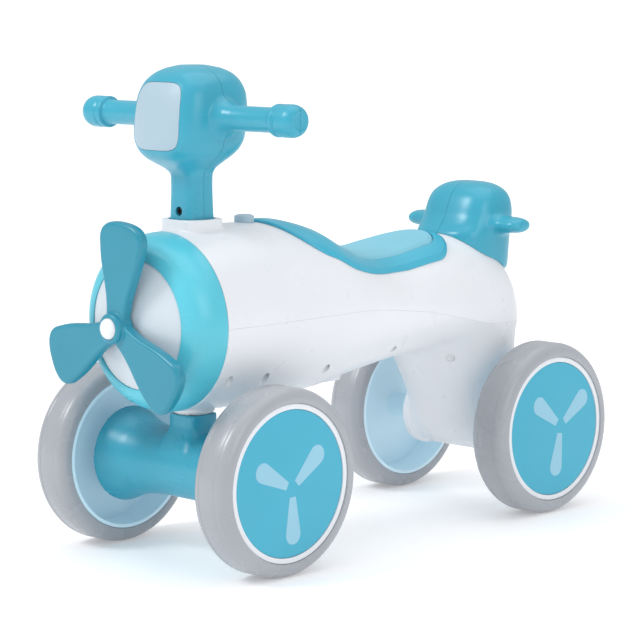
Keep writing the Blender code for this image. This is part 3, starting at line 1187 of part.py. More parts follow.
def build_sound_unit(materials, car, button):
    """Housing under the shell, with its board, loudspeaker and return dome, and the button above."""
    y = button_place()
    ceiling = hull_height(UNIT_HALF_WIDTH * 0.3, y + UNIT_HALF_LENGTH, -WALL)
    top = hull_height(BUTTON_RADIUS, y)
    floor = ceiling - UNIT_DEPTH
    board_top = ceiling - BOARD_DROP
    neck = BUTTON_RADIUS + BUTTON_FLANGE + 2 * RUNNING_GAP

    block = box((-UNIT_HALF_WIDTH, y - UNIT_HALF_LENGTH, floor),
                (UNIT_HALF_WIDTH, y + UNIT_HALF_LENGTH, floor + 2 * UNIT_DEPTH))
    housing = piece("sound_housing", block, materials["dark"], car)
    combine(housing, "INTERSECT", tool("under_shell", hull_hollow(WALL + SEAT_GAP, 0.0), car))
    inner_x, inner_y = UNIT_HALF_WIDTH - UNIT_WALL, UNIT_HALF_LENGTH - UNIT_WALL
    room_top = board_top + RETURN_DOME_HEIGHT - 2 * BUTTON_TRAVEL + 0.0005
    room = box((-inner_x, y - inner_y, floor - 0.01), (inner_x, y + inner_y, room_top))
    combine(housing, "DIFFERENCE", tool("sound_room", room, car))
    neck_bore = rod(board_top, board_top + 2 * UNIT_DEPTH, neck, BUTTON_SIDES, "Z")
    combine(housing, "DIFFERENCE", tool("sound_neck", moved(neck_bore, y=y), car))

    gap = SEAT_GAP
    board = box((-inner_x + gap, y - inner_y + gap, board_top - BOARD_THICKNESS),
                (inner_x - gap, y + inner_y - gap, board_top))
    piece("circuit_board", board, materials["board"], car)
    speaker_top = board_top - BOARD_THICKNESS - gap
    speaker_shares = ((0.0, 0.0), (0.0, 0.55), (0.5, 0.55), (0.7, 1.0), (1.0, 1.0), (0.75, 0.5), (0.75, 0.0))
    speaker = [
        (speaker_top - SPEAKER_HEIGHT * drop, SPEAKER_RADIUS * radius) for drop, radius in speaker_shares
    ]
    piece("loudspeaker", moved(turned(speaker, BORE_SIDES, "Z"), y=y), materials["dark"], car)

    flange_top = hull_height(0.0, y + BUTTON_RADIUS + BUTTON_FLANGE, -WALL) - BUTTON_FLANGE_DROP
    stem_end = board_top + RETURN_DOME_HEIGHT
    crown = top + BUTTON_RISE
    flange_radius = BUTTON_RADIUS + BUTTON_FLANGE
    button_profile = [
        (crown, 0.0), (crown, BUTTON_RADIUS - 0.0014), (crown - 0.0004, BUTTON_RADIUS - 0.0005),
        (crown - 0.0014, BUTTON_RADIUS), (flange_top, BUTTON_RADIUS), (flange_top, flange_radius),
        (flange_top - 0.0012, flange_radius), (flange_top - 0.0012, BUTTON_STEM_RADIUS),
        (stem_end, BUTTON_STEM_RADIUS), (stem_end, 0.0),
    ]
    piece("sound_button", turned(button_profile, BUTTON_SIDES, "Z"), materials["frosted"], button)
    dome_low, dome_high = board_top + gap, stem_end - gap
    dome = [
        (dome_high, 0.0), (dome_high, 0.0026), (dome_high - 0.0005, 0.0030), (dome_low + 0.0008, 0.0060),
        (dome_low, 0.0060), (dome_low, 0.0046), (dome_high - 0.0012, 0.0020), (dome_high - 0.0010, 0.0),
    ]
    piece("button_dome", moved(turned(dome, SMALL_SIDES, "Z"), y=y), materials["dark"], car)


def build_materials():
    return {
        "white": make_material("white_plastic", (0.80, 0.84, 0.90), 0.32),
        "teal": make_material("teal_plastic", (0.10, 0.47, 0.66), 0.38),
        "pad": make_material("pad_foam", (0.22, 0.62, 0.78), 0.7),
        "tyre": make_material("grey_tyre", (0.36, 0.38, 0.41), 0.6),
        "frosted": make_material("frosted_plastic", (0.52, 0.62, 0.72), 0.45),
        "nylon": make_material("nylon", (0.70, 0.72, 0.72), 0.45),
        "steel": make_material("zinc_steel", (0.62, 0.63, 0.65), 0.35, 1.0),
        "dark_steel": make_material("black_steel", (0.08, 0.08, 0.09), 0.4, 1.0),
        "dark": make_material("black_plastic", (0.03, 0.03, 0.035), 0.5),
        "board": make_material("board", (0.03, 0.16, 0.07), 0.5),
    }


def build():
    clear_scene()
    materials = build_materials()
    car = empty("car", place=(0.0, FRAME_SHIFT, 0.0))
    steering = empty("steering", car, (0.0, FRONT_AXLE, 0.0))
    bodies = {}
    for end, half_track, parent, y in (("front", FRONT_HALF_TRACK, steering, 0.0),
                                       ("rear", REAR_HALF_TRACK, car, REAR_AXLE)):
        for side, sign in (("left", 1), ("right", -1)):
            place = (sign * half_track, y, WHEEL_RADIUS)
            bodies[f"{end}_{side}"] = empty(f"{end}_{side}_wheel", parent, place, half_turn=sign < 0)
    propeller = empty("propeller_axis", car, (0.0, HULL_FRONT - HUB_BACK, NOSE_AXIS))
    button = empty("button_axis", car, (0.0, button_place(), 0.0))

    build_wheels(materials, bodies)
    build_axle("rear", REAR_HALF_TRACK, materials, car, REAR_AXLE)
    build_fuselage(materials, car)
    build_steering_bushes(materials, car)
    build_steering(materials, steering)
    build_head(materials, steering)
    build_nose(materials, car)
    build_propeller(materials, propeller)
    build_seat(materials, car)
    build_tail(materials, car)
    build_sound_unit(materials, car, button)


build()
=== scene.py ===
"""The toddler's plane-shaped push-along ride-on, finished for the photograph's view.

The CAD gives the sizes and places. Each form that shows is built again here from the same outlines,
finer and with soft edges, and stands in for its CAD node. Pieces that nobody sees keep the CAD's mesh.
"""

import math

import bmesh
import bpy
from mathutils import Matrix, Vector


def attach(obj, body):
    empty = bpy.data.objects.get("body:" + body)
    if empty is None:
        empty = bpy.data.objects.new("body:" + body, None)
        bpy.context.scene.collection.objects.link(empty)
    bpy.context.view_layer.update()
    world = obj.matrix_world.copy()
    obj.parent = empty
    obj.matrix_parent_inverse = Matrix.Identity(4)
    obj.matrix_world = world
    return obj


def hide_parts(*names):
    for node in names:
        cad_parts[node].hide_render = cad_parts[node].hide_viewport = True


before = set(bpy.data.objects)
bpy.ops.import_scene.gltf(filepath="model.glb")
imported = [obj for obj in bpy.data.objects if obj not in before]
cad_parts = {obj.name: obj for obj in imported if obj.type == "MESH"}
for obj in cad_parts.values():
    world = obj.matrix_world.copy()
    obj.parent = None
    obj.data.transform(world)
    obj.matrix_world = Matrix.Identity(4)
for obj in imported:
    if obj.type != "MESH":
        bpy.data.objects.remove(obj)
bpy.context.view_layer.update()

# Clearances and walls
SEAT_GAP = 0.0003          # between pieces that rest on each other
RUNNING_GAP = 0.0004       # between pieces that turn or slide on each other
WALL = 0.003               # moulded wall of the fuselage and cowl
HEAD_WALL = 0.0026         # moulded wall of the head and tail

# Stance
OVERALL_LENGTH = 0.5038    # tip of the propeller's cap to the back of the rear wheels
FRONT_HALF_TRACK = 0.0947  # centre line to the middle of the tread
REAR_HALF_TRACK = 0.0857

# Wheels
WHEEL_RADIUS = 0.075
TYRE_WIDTH = 0.036
TYRE_DEPTH = 0.0119        # tread to rim
TYRE_SHOULDER = 0.0096     # radius of the tread's rounded edges
RING_WIDTH = 0.0045        # white ring that shows round the disc
DISC_SINK = 0.002          # how far the disc lies inside the tyre's outer face
DISC_THICKNESS = 0.0025
DISC_LEDGE = 0.004         # step of the rim that the disc rests on
RIM_WALL = 0.0024
HUB_RADIUS = 0.0105
HUB_SINK = 0.012           # tyre's outer face to the hub's outer face
AXLE_RADIUS = 0.004
BUSH_WALL = 0.002
BUSH_FLANGE_LENGTH = 0.004

# Spools round the axles: the front yoke's flares into the wheels, the rear leg's stops short of them
YOKE_HALF_WIDTH = 0.078
YOKE_HORN = 0.040
YOKE_WAIST = 0.0278
LEG_HALF_WIDTH = 0.051
LEG_HORN = 0.0300
LEG_WAIST = 0.0286
LEG_BAND = 0.008           # straight band at each end of the rear spool

# Steering
STEM_RADIUS = 0.0095
STEERING_BUSH_WALL = 0.0018
STEERING_BUSH_FLANGE = 0.0035
FLANGE_THICKNESS = 0.0015
BUSH_DEPTH = 0.012
BOSS_DROP = 0.0008         # flat boss for the lower bush below the belly
COLUMN_HALF = 0.0155       # half the side of the yoke's square column
COLUMN_POWER = 4.6         # squareness of both columns' sections
# Share of the column's rise above the axle, then how far it has swollen to blend into the spool
COLUMN_SWELLS = ((-0.23, 0.0110), (0.28, 0.0100), (0.49, 0.0055), (0.65, 0.0015), (0.79, 0.0), (1.0, 0.0))
COLLAR_HALF = 0.0200
COLLAR_RISE = 0.0068       # collar above the fuselage
COLLAR_SINK = 0.0012       # head's foot below the collar's top

# Fuselage
NOSE_AXIS = 0.1946         # height of the nose's and propeller's axis
NOSE_RADIUS = 0.0717
NOSE_OVERHANG = 0.0284     # cowl joint ahead of the front axle
TAIL_OVERHANG = 0.031      # fuselage end behind the rear axle
HULL_END_ROUND = 0.042     # length over which the rear end rounds off
HULL_END_POWER = 2.5
PLINTH_HALF_WIDTH = 0.024  # raised flat under the belly
PLINTH_LENGTH = 0.055
PLINTH_BACK = 0.147        # its rear end behind the front axle
PLINTH_DROP = 0.0643       # its face below the nose's axis
POST_RADIUS = 0.0056
RECESS_RADIUS = 0.0038
POST_SEAT = 0.012          # screw seat below the parting line

# Screws
SCREW_RADIUS = 0.0015
SCREW_HEAD_RADIUS = 0.0031
SCREW_HEAD_HEIGHT = 0.002
SCREW_LENGTH = 0.016
TAIL_PAD_DEPTH = 0.006     # pads under the fuselage's wall for the tail's screws

# Nose
COWL_LENGTH = 0.0314
DOME_RADIUS = 0.0512
DOME_RISE = 0.0135
DOME_EDGE = 0.003
DOME_LEDGE = 0.004         # cowl's ledge behind the dome's edge
COWL_LIP = 0.0012          # rounded lip of the cowl round the dome
DOME_BOSS_LENGTH = 0.010   # boss for the propeller's screw behind the dome
DOME_BOSS_WALL = 0.0045
SPIGOT_LENGTH = 0.006
SPIGOT_WALL = 0.002

# Propeller
PROPELLER_RADIUS = 0.0835
HUB_CAP_RADIUS = 0.0083
HUB_CAP_RISE = 0.0042
PROPELLER_HUB_RADIUS = 0.0122
PROPELLER_HUB_LENGTH = 0.0152
PROPELLER_TURN = math.radians(6.5)  # first blade from upright
BLADE_ROOT_HALF = 0.0094
BLADE_TIP_HALF = 0.0238
BLADE_THICKNESS = 0.0098
BLADE_ROUND = 0.0038
BLADE_PLACE = 0.0052       # blade's middle plane ahead of the hub's back
BLADE_COUNT = 3
BLADE_PITCH = math.radians(1.5)
PROPELLER_SCREW_RADIUS = 0.0025
PROPELLER_SCREW_RIM = 0.0022  # its head beyond its shaft
HUB_POCKET_DEPTH = 0.0085  # pocket for its head, from the hub's front
CAP_SEAT_DEPTH = 0.003

# Seat
SEAT_THICKNESS = 0.0028
SEAT_HALF_WIDTH = 0.0575
SEAT_SETBACK = 0.070       # seat's front tip behind the steering axis
SEAT_TAIL_SPACE = 0.0115   # seat's rear to the foot of the tail
SEAT_FRONT_ROUND = 0.034   # length over which each end rounds off
SEAT_REAR_ROUND = 0.034
PAD_SETBACK = 0.042        # pad's front tip behind the seat's
PAD_DEPTH = 0.0015         # recess for the pad
PAD_CROWN = 0.0008         # pad above the seat shell, along its middle

# Tail
TAIL_RISE = 0.0924         # hood's top above the nose's axis
TAIL_HEM_RISE = 0.0134     # its hem, behind the fuselage
TAIL_HALF_WIDTH = 0.0387
TAIL_FRONT = 0.0285        # upright front of the hood ahead of the rear axle
TAIL_FOOT = 0.0425         # its flared foot ahead of the rear axle
TAIL_REAR = 0.0308
TAIL_POWER = 2.9
FIN_HALF_SPAN = 0.066
FIN_RISE = 0.0559          # above the nose's axis
FIN_HALF_CHORD = 0.0125
FIN_HALF_THICKNESS = 0.0070

# Head
HEAD_HEIGHT = 0.1230       # column foot to the top of the head
HEAD_HALF_WIDTH = 0.0388
HEAD_HALF_DEPTH = 0.0385
HEAD_POWER = 3.1
HANDLE_HEIGHT = 0.0825     # handle's axis above the column foot
HANDLE_HALF_SPAN = 0.1222
HANDLE_RADIUS = 0.0099
# Distance out from the head's side, then how far the handle has swollen to blend into it
HANDLE_SWELLS = ((-0.001, 0.0075), (0.002, 0.0040), (0.007, 0.0016), (0.015, 0.0))
KNOB_RADIUS = 0.0129
KNOB_LENGTH = 0.0245
KNOB_FACE = 0.0086
PANEL_HALF_WIDTH = 0.0257
PANEL_BOTTOM = 0.0570      # panel edges above the column foot
PANEL_TOP = 0.1100
PANEL_DEPTH = 0.003
PANEL_SINK = 0.0004
HEAD_SCREW_OUT = 0.022
HEAD_SCREW_RISE = 0.021    # above the handle's axis
HEAD_SCREW_SEAT = 0.006    # behind the parting plane
STEM_SCREW_RISE = 0.0075   # above the column's foot
STEM_SCREW_RADIUS = SCREW_RADIUS * 1.3
STEM_SCREW_LENGTH = 0.012
STEM_SCREW_SEAT = 0.0015   # its seat outside the stem

# Button and sound unit
BUTTON_RADIUS = 0.0082
BUTTON_RISE = 0.0070
BUTTON_FLANGE = 0.0018
BUTTON_FLANGE_DROP = 0.0036  # flange's top below the shell's inner face
BUTTON_STEM_RADIUS = 0.003
RETURN_DOME_HEIGHT = 0.0060  # button's stem above the board
BUTTON_SEAT_SPACE = 0.0042  # button's edge to the seat's tip
UNIT_HALF_WIDTH = 0.017
UNIT_HALF_LENGTH = 0.0185
BOARD_DROP = 0.0150        # board's top below the shell's inner face

# Sides of round forms
CAD_SIDES = 16             # of the CAD's spigot and collar sweep, whose flats the fine ones clear
SKIN_SIDES = 160
FORM_SIDES = 128
PART_SIDES = 96
HOLLOW_SIDES = 64
SMALL_SIDES = 48
SCREW_SIDES = 40
POST_SIDES = 32

# Places worked out from the sizes above
DOME_FRONT = COWL_LENGTH + DOME_RISE
HUB_BACK = DOME_FRONT + 2 * RUNNING_GAP
HUB_FRONT = HUB_BACK + PROPELLER_HUB_LENGTH
WHEELBASE = OVERALL_LENGTH - WHEEL_RADIUS - NOSE_OVERHANG - HUB_FRONT - HUB_CAP_RISE
FRONT_AXLE = -WHEELBASE / 2
REAR_AXLE = WHEELBASE / 2
STEERING_AXIS = (0.0, FRONT_AXLE, 0.0)
HULL_FRONT = FRONT_AXLE - NOSE_OVERHANG
HULL_END = REAR_AXLE + TAIL_OVERHANG
HULL_LENGTH = HULL_END - HULL_FRONT
NOSE_TIP = HULL_FRONT - HUB_FRONT - HUB_CAP_RISE
FRAME_SHIFT = -(NOSE_TIP + REAR_AXLE + WHEEL_RADIUS) / 2
TYRE_BORE = WHEEL_RADIUS - TYRE_DEPTH
DISC_RADIUS = TYRE_BORE - SEAT_GAP - RING_WIDTH
TYRE_HALF = TYRE_WIDTH / 2
HUB_OUTER = TYRE_HALF - HUB_SINK
BUSH_BORE = AXLE_RADIUS + RUNNING_GAP
BUSH_RADIUS = BUSH_BORE + BUSH_WALL

# Outlines of the fuselage: share of its length from the nose joint, then the height above the nose's axis
HULL_TOP = (
    (0.00, NOSE_RADIUS), (0.12, 0.0744), (0.23, 0.0734), (0.29, 0.0694), (0.35, 0.0632),
    (0.41, 0.0504), (0.47, 0.0407), (0.52, 0.0378), (0.57, 0.0385), (0.63, 0.0419), (0.69, 0.0453),
    (0.76, 0.0478), (0.82, 0.0478), (0.88, 0.0429), (0.94, 0.0339), (1.00, 0.0204),
)
HULL_SIDE = (
    (0.00, 0.0), (0.38, 0.0004), (0.57, -0.0066), (0.75, -0.0206), (0.83, -0.0271), (1.00, -0.0316),
)
HULL_BELLY = (
    (0.00, -NOSE_RADIUS), (0.13, -0.0746), (0.21, -0.0734), (0.35, -0.0684), (0.41, -0.0641),
    (0.47, -0.0601), (0.53, -0.0564), (0.60, -0.0526), (0.70, -0.0486), (0.85, -0.0456),
    (1.00, -0.0446),
)
HULL_HALF_WIDTH = (
    (0.00, NOSE_RADIUS), (0.13, 0.0738), (0.35, 0.0715), (0.56, 0.0670), (0.75, 0.0625), (0.88, 0.0570),
    (1.00, 0.0510),
)
HULL_POWERS = ((0.00, 2.00), (0.18, 2.04), (0.40, 2.22), (0.70, 2.20), (1.00, 2.25))

# Rear leg, from its top down: share of the height from the axle to the nose's axis, half width, and
# reach ahead of and behind the rear axle
LEG_SECTIONS = (
    (0.800, 0.0500, 0.064, 0.0200), (0.736, 0.0565, 0.072, 0.0265), (0.680, 0.0575, 0.075, 0.0295),
    (0.610, 0.0570, 0.0755, 0.0312), (0.477, 0.0532, 0.0700, 0.0320), (0.326, 0.0492, 0.0600, 0.0305),
    (0.142, 0.0465, 0.0470, 0.0300), (-0.025, 0.0450, 0.0400, 0.0280), (-0.159, 0.0425, 0.0275, 0.0200),
)
LEG_POWERS = ((-0.159, 2.8), (0.20, 2.8), (0.45, 2.5), (0.80, 2.2))

# Head: share of its height, then half width and reach ahead of and behind the stem
HEAD_SECTIONS = (
    (0.00, 0.0149, 0.0149, 0.0149), (0.02, 0.0143, 0.0143, 0.0143), (0.18, 0.0140, 0.0140, 0.0140),
    (0.29, 0.0144, 0.0144, 0.0144), (0.33, 0.0165, 0.0190, 0.0165), (0.37, 0.0228, 0.0275, 0.0210),
    (0.41, 0.0292, 0.0350, 0.0270), (0.46, 0.0345, 0.0395, 0.0330), (0.53, 0.0380, 0.0415, 0.0370),
    (0.63, 0.0390, 0.0412, 0.0390), (0.73, 0.0388, 0.0395, 0.0398), (0.81, 0.0375, 0.0370, 0.0392),
    (0.88, 0.0343, 0.0330, 0.0365), (0.94, 0.0280, 0.0262, 0.0310), (0.98, 0.0190, 0.0172, 0.0222),
    (1.00, 0.0090, 0.0080, 0.0110),
)

# Tail hood from its hem up: share of its rise, share of its half width, how far its front has flared
# out to the foot, then how far its front and rear lie inside their lines
TAIL_SECTIONS = (
    (None, 0.98, 1.0, -0.0020, 0.0040), (0.04, 1.0, 1.0, 0.0, 0.0010), (0.14, 1.0, 0.80, 0.0030, 0.0),
    (0.26, 1.0, 0.34, 0.0, 0.0), (0.42, 0.995, 0.06, 0.0, 0.0), (0.62, 0.965, 0.0, 0.0025, 0.0015),
    (0.78, 0.88, 0.0, 0.0065, 0.0045), (0.90, 0.71, 0.0, 0.0125, 0.0100), (0.97, 0.50, 0.0, 0.0185, 0.0160),
    (1.0, 0.28, 0.0, 0.0245, 0.0235),
)

# Stub fin from its root out: distance from the root, or from the tip if below 0, then shares of its
# chord and thickness
FIN_SECTIONS = (
    (0.000, 1.30, 1.65), (0.003, 1.12, 1.25), (0.008, 1.03, 1.05), (-0.010, 1.0, 1.0), (-0.004, 0.86, 0.84),
    (-0.001, 0.60, 0.58),
)
FIN_ROOT_DEPTH = 0.006     # how far the fin reaches into the hood's side
FIN_TIP_SHARE = 0.30

# Half width of the seat: share of its length from the front, then share of its greatest
SEAT_WIDTHS = (
    (0.00, 0.87), (0.13, 0.93), (0.28, 1.00), (0.40, 0.95), (0.53, 0.88), (0.65, 0.85), (0.78, 0.805),
    (0.90, 0.765), (1.00, 0.745),
)

# Shell screws: share of the fuselage's length, then distance from the centre line
SHELL_SCREWS = ((0.033, 0.0575), (0.131, 0.0585), (0.311, 0.0565), (0.523, 0.0535), (0.750, 0.0440))


def smooth_value(points, at):
    """Value at a place on a smooth curve through (place, value) points, which never overshoots them."""
    if at <= points[0][0]:
        return points[0][1]
    if at >= points[-1][0]:
        return points[-1][1]
    steps = [b[0] - a[0] for a, b in zip(points, points[1:])]
    rises = [(b[1] - a[1]) / step for a, b, step in zip(points, points[1:], steps)]
    slopes = [rises[0]]
    for before, after in zip(rises, rises[1:]):
        slopes.append(0.0 if before * after <= 0 else 2 * before * after / (before + after))
    slopes.append(rises[-1])
    i = max(k for k in range(len(steps)) if points[k][0] <= at)
    t = (at - points[i][0]) / steps[i]
    start, end = points[i][1], points[i + 1][1]
    value = (1 + 2 * t) * (1 - t) ** 2 * start + t * t * (3 - 2 * t) * end
    return value + steps[i] * (t * (1 - t) ** 2 * slopes[i] - t * t * (1 - t) * slopes[i + 1])


def cos_of(degrees):
    return math.cos(math.radians(degrees))


def sin_of(degrees):
    return math.sin(math.radians(degrees))


def rounded_ring(half_u, half_v, power, count):
    """(u, v) points round a superellipse: power 2 is an ellipse, and a higher one is squarer."""
    ring = []
    for k in range(count):
        angle = 2 * math.pi * k / count
        u, v = round(math.cos(angle), 9), round(math.sin(angle), 9)
        ring.append((
            half_u * math.copysign(abs(u) ** (2 / power), u),
            half_v * math.copysign(abs(v) ** (2 / power), v),
        ))
    return ring


def loft(rings, curved=True):
    """A closed solid through rings with equal numbers of points, with a flat face at each end.

    The four-sided faces of a curved one aren't flat, so they are halved, alike on the left and right.
    """
    count = len(rings[0])
    points = [point for ring in rings for point in ring]
    faces = [tuple(range(count)), tuple(range(len(points) - count, len(points)))]
    for start in range(0, len(points) - count, count):
        for j in range(count):
            k = (j + 1) % count
            near, far, far_next, near_next = start + j, start + k, start + count + k, start + count + j
            if not curved:
                faces.append((near, far, far_next, near_next))
            elif points[near][0] + points[far][0] > 0:
                faces += [(near, far, far_next), (near, far_next, near_next)]
            else:
                faces += [(near, far, near_next), (far, far_next, near_next)]
    return points, faces


def facing(axis, along, u, v):
    """A point from its place along an axis and its two places across it."""
    return {"X": (along, u, v), "Y": (u, along, v), "Z": (u, v, along)}[axis]


def turned(profile, sides, axis="X"):
    """A solid turned about an axis from (place along it, radius) points.

    A profile that starts and ends at radius 0 is closed by the axis; any other is a closed loop.
    """
    points, rows = [], []
    for along, radius in profile:
        row = []
        for j in range(sides if radius > 0 else 1):
            angle = 2 * math.pi * j / sides
            a, b = radius * round(math.cos(angle), 9), radius * round(math.sin(angle), 9)
            row.append(len(points))
            points.append(facing(axis, along, a, b))
        rows.append(row)
    pairs = list(zip(rows, rows[1:]))
    if profile[0][1] > 0:
        pairs.append((rows[-1], rows[0]))
    faces = []
    for low, high in pairs:
        for j in range(sides):
            k = (j + 1) % sides
            corners = [low[j % len(low)], low[k % len(low)], high[k % len(high)], high[j % len(high)]]
            faces.append(tuple(dict.fromkeys(corners)))
    return points, faces


def prism(outline, low, high, axis="Z"):
    """An outline of (u, v) points pushed along an axis from low to high."""
    rings = [[facing(axis, along, u, v) for u, v in outline] for along in (low, high)]
    return loft(rings, curved=False)


def box(low, high):
    corners = [(low[0], low[1]), (high[0], low[1]), (high[0], high[1]), (low[0], high[1])]
    return prism(corners, low[2], high[2])


def moved(shape, x=0.0, y=0.0, z=0.0):
    points, faces = shape
    return [(p[0] + x, p[1] + y, p[2] + z) for p in points], faces


def joined(shapes):
    """Several separate closed shapes as one."""
    points, faces = [], []
    for shape_points, shape_faces in shapes:
        start = len(points)
        points += shape_points
        faces += [tuple(start + index for index in face) for face in shape_faces]
    return points, faces


def arc(centre, radius, start, end, steps):
    """(along, radius) points on an arc between two angles in degrees."""
    points = []
    for i in range(steps + 1):
        angle = math.radians(start + (end - start) * i / steps)
        points.append((centre[0] + radius * math.cos(angle), centre[1] + radius * math.sin(angle)))
    return points


def hull_place(share):
    return HULL_FRONT + share * HULL_LENGTH


def hull_share(y):
    return (y - HULL_FRONT) / HULL_LENGTH


def hull_top(share):
    return NOSE_AXIS + smooth_value(HULL_TOP, share)


def hull_side(share):
    return NOSE_AXIS + smooth_value(HULL_SIDE, share)


def hull_belly(share):
    return NOSE_AXIS + smooth_value(HULL_BELLY, share)


def hull_section(y, grow, sides, scale=1.0, at=None):
    """A ring of the fuselage across Y, grown outwards, and scaled towards its side line's height."""
    share = hull_share(y)
    side = hull_side(share)
    above = (hull_top(share) - side + grow) * scale
    below = (side - hull_belly(share) + grow) * scale
    half = (smooth_value(HULL_HALF_WIDTH, share) + grow) * scale
    ring = []
    for u, v in rounded_ring(1.0, 1.0, smooth_value(HULL_POWERS, share), sides):
        ring.append((half * u, y if at is None else at, side + v * (above if v > 0 else below)))
    return ring


def hull_height(x, y, grow=0.0):
    """Height of the fuselage's upper surface, grown outwards, at a place in plan."""
    share = hull_share(y)
    side = hull_side(share)
    half = smooth_value(HULL_HALF_WIDTH, share) + grow
    power = smooth_value(HULL_POWERS, share)
    rise = (1 - min(1.0, abs(x) / half) ** power) ** (1 / power)
    return side + (hull_top(share) - side + grow) * rise


def hub_inner(half_track, spool_half):
    """Place of a hub's inner face, past the bush's flange, from the middle of the tyre."""
    return spool_half - half_track + 2 * SEAT_GAP + BUSH_FLANGE_LENGTH


def shell_screw_places():
    """(x, y) of every screw that closes the fuselage, left and right of the centre line."""
    places = []
    for share, out in SHELL_SCREWS:
        places += [(out, hull_place(share)), (-out, hull_place(share))]
    return places


def screw_seat(y):
    return hull_side(hull_share(y)) - POST_SEAT


def tail_screw_places():
    return [(TAIL_HALF_WIDTH * 0.45, REAR_AXLE), (-TAIL_HALF_WIDTH * 0.45, REAR_AXLE)]


def steering_heights():
    """Belly, collar top and collar floor at the steering axis."""
    share = hull_share(FRONT_AXLE)
    belly = hull_belly(share)
    collar_top = hull_top(share) + COLLAR_RISE
    floor = collar_top - COLLAR_SINK - 2 * SEAT_GAP - FLANGE_THICKNESS
    return belly, collar_top, floor


def yoke_top():
    belly = steering_heights()[0]
    return belly - BOSS_DROP - FLANGE_THICKNESS - 2 * SEAT_GAP


def column_foot():
    return steering_heights()[1] - COLLAR_SINK


def head_screw_places():
    height = column_foot() + HANDLE_HEIGHT + HEAD_SCREW_RISE
    return [(HEAD_SCREW_OUT, height), (-HEAD_SCREW_OUT, height)]


def button_place():
    return FRONT_AXLE + SEAT_SETBACK - BUTTON_SEAT_SPACE - BUTTON_RADIUS


def put(name, shape, place=(0.0, 0.0, 0.0), half_turn=False):
    """A closed mesh in the shared frame, from a shape in a body's own frame."""
    points, faces = shape
    sign = -1 if half_turn else 1
    placed = [(sign * x + place[0], sign * y + place[1] + FRAME_SHIFT, z + place[2]) for x, y, z in points]
    mesh = bpy.data.meshes.new(name)
    mesh.from_pydata(placed, [], faces)
    working = bmesh.new()
    working.from_mesh(mesh)
    bmesh.ops.recalc_face_normals(working, faces=working.faces)
    bmesh.ops.triangulate(working, faces=[face for face in working.faces if len(face.verts) > 4])
    working.to_mesh(mesh)
    working.free()
    obj = bpy.data.objects.new(name, mesh)
    bpy.context.scene.collection.objects.link(obj)
    return obj


def bake(obj):
    """The object's mesh with its modifiers applied."""
    bpy.context.view_layer.update()
    graph = bpy.context.evaluated_depsgraph_get()
    mesh = bpy.data.meshes.new_from_object(obj.evaluated_get(graph))
    old = obj.data
    obj.modifiers.clear()
    obj.data = mesh
    bpy.data.meshes.remove(old)
    return obj


def carve(obj, operation, other, keep=False):
    modifier = obj.modifiers.new("step", "BOOLEAN")
    modifier.operation = operation
    modifier.solver = "MANIFOLD"
    modifier.object = other
    bake(obj)
    if not keep:
        bpy.data.objects.remove(other)
    return obj


def cut(obj, shape, place=(0.0, 0.0, 0.0)):
    """Takes a shape out of a piece."""
    return carve(obj, "DIFFERENCE", put("tool", shape, place))


def add(obj, shape, place=(0.0, 0.0, 0.0)):
    """Joins a shape to a piece."""
    return carve(obj, "UNION", put("tool", shape, place))


def add_both(obj, profile, sides, place):
    """Joins a shape turned across the car to a piece, on its left and mirrored on its right."""
    for sign in (1, -1):
        add(obj, turned([(sign * along, radius) for along, radius in profile], sides), place)


def blended(obj, voxel, rounds):
    """One even skin over joined shapes, whose inner corners are smoothed into fillets."""
    skin = obj.modifiers.new("skin", "REMESH")
    skin.mode = "VOXEL"
    skin.voxel_size = voxel
    ease = obj.modifiers.new("ease", "SMOOTH")
    ease.factor = 0.5
    ease.iterations = rounds
    return bake(obj)


def melt(obj, weight, rounds):
    """Extra smoothing where weight(place) is above 0, with the place in the car's own frame."""
    group = obj.vertex_groups.new(name="melt")
    for vertex in obj.data.vertices:
        x, y, z = vertex.co
        share = weight(x, y - FRAME_SHIFT, z)
        if share > 0:
            group.add([vertex.index], share, "REPLACE")
    ease = obj.modifiers.new("melt", "SMOOTH")
    ease.factor = 0.5
    ease.iterations = rounds
    ease.vertex_group = group.name
    bake(obj)
    obj.vertex_groups.clear()
    return obj


def ramp(value, start, end):
    t = min(1.0, max(0.0, (value - start) / (end - start)))
    return t * t * (3 - 2 * t)


def haunch_weight(x, y, z):
    """Where the rear leg flows out of the fuselage's side."""
    share = hull_share(y)
    below = hull_side(min(1.0, max(0.0, share))) - z
    return ramp(y, 0.045, 0.085) * ramp(below, 0.0, 0.010) * ramp(z, 0.085, 0.108)


def copy_of(obj, name):
    twin = bpy.data.objects.new(name, obj.data.copy())
    bpy.context.scene.collection.objects.link(twin)
    return twin


def show(obj, look_name, body, slot, *nodes, angle=32):
    """Give a finished piece its look, its body and the nodes that it stands for."""
    mesh = obj.data
    mesh.materials.clear()
    mesh.materials.append(LOOKS[look_name])
    mesh.polygons.foreach_set("material_index", [0] * len(mesh.polygons))
    mesh.shade_smooth()
    mesh.set_sharp_from_angle(angle=math.radians(angle))
    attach(obj, body)
    if nodes:
        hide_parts(*nodes)
    return obj


def soften(profile, radius, steps=4):
    """The profile with its corners rounded. Ends on the axis stay where they are."""
    closed = profile[0][1] > 0
    count = len(profile)
    result = []
    for i, point in enumerate(profile):
        if not closed and i in (0, count - 1):
            result.append(point)
            continue
        here = Vector(point)
        before, after = Vector(profile[i - 1]) - here, Vector(profile[(i + 1) % count]) - here
        reach = min(radius, 0.45 * before.length, 0.45 * after.length)
        turn = math.degrees(math.pi - before.angle(after, math.pi))
        if turn < 12:
            result.append(point)
            continue
        start, end = here + before.normalized() * reach, here + after.normalized() * reach
        for k in range(steps + 1):
            t = k / steps
            spot = start * (1 - t) ** 2 + here * 2 * t * (1 - t) + end * t * t
            result.append((spot.x, spot.y))
    return result


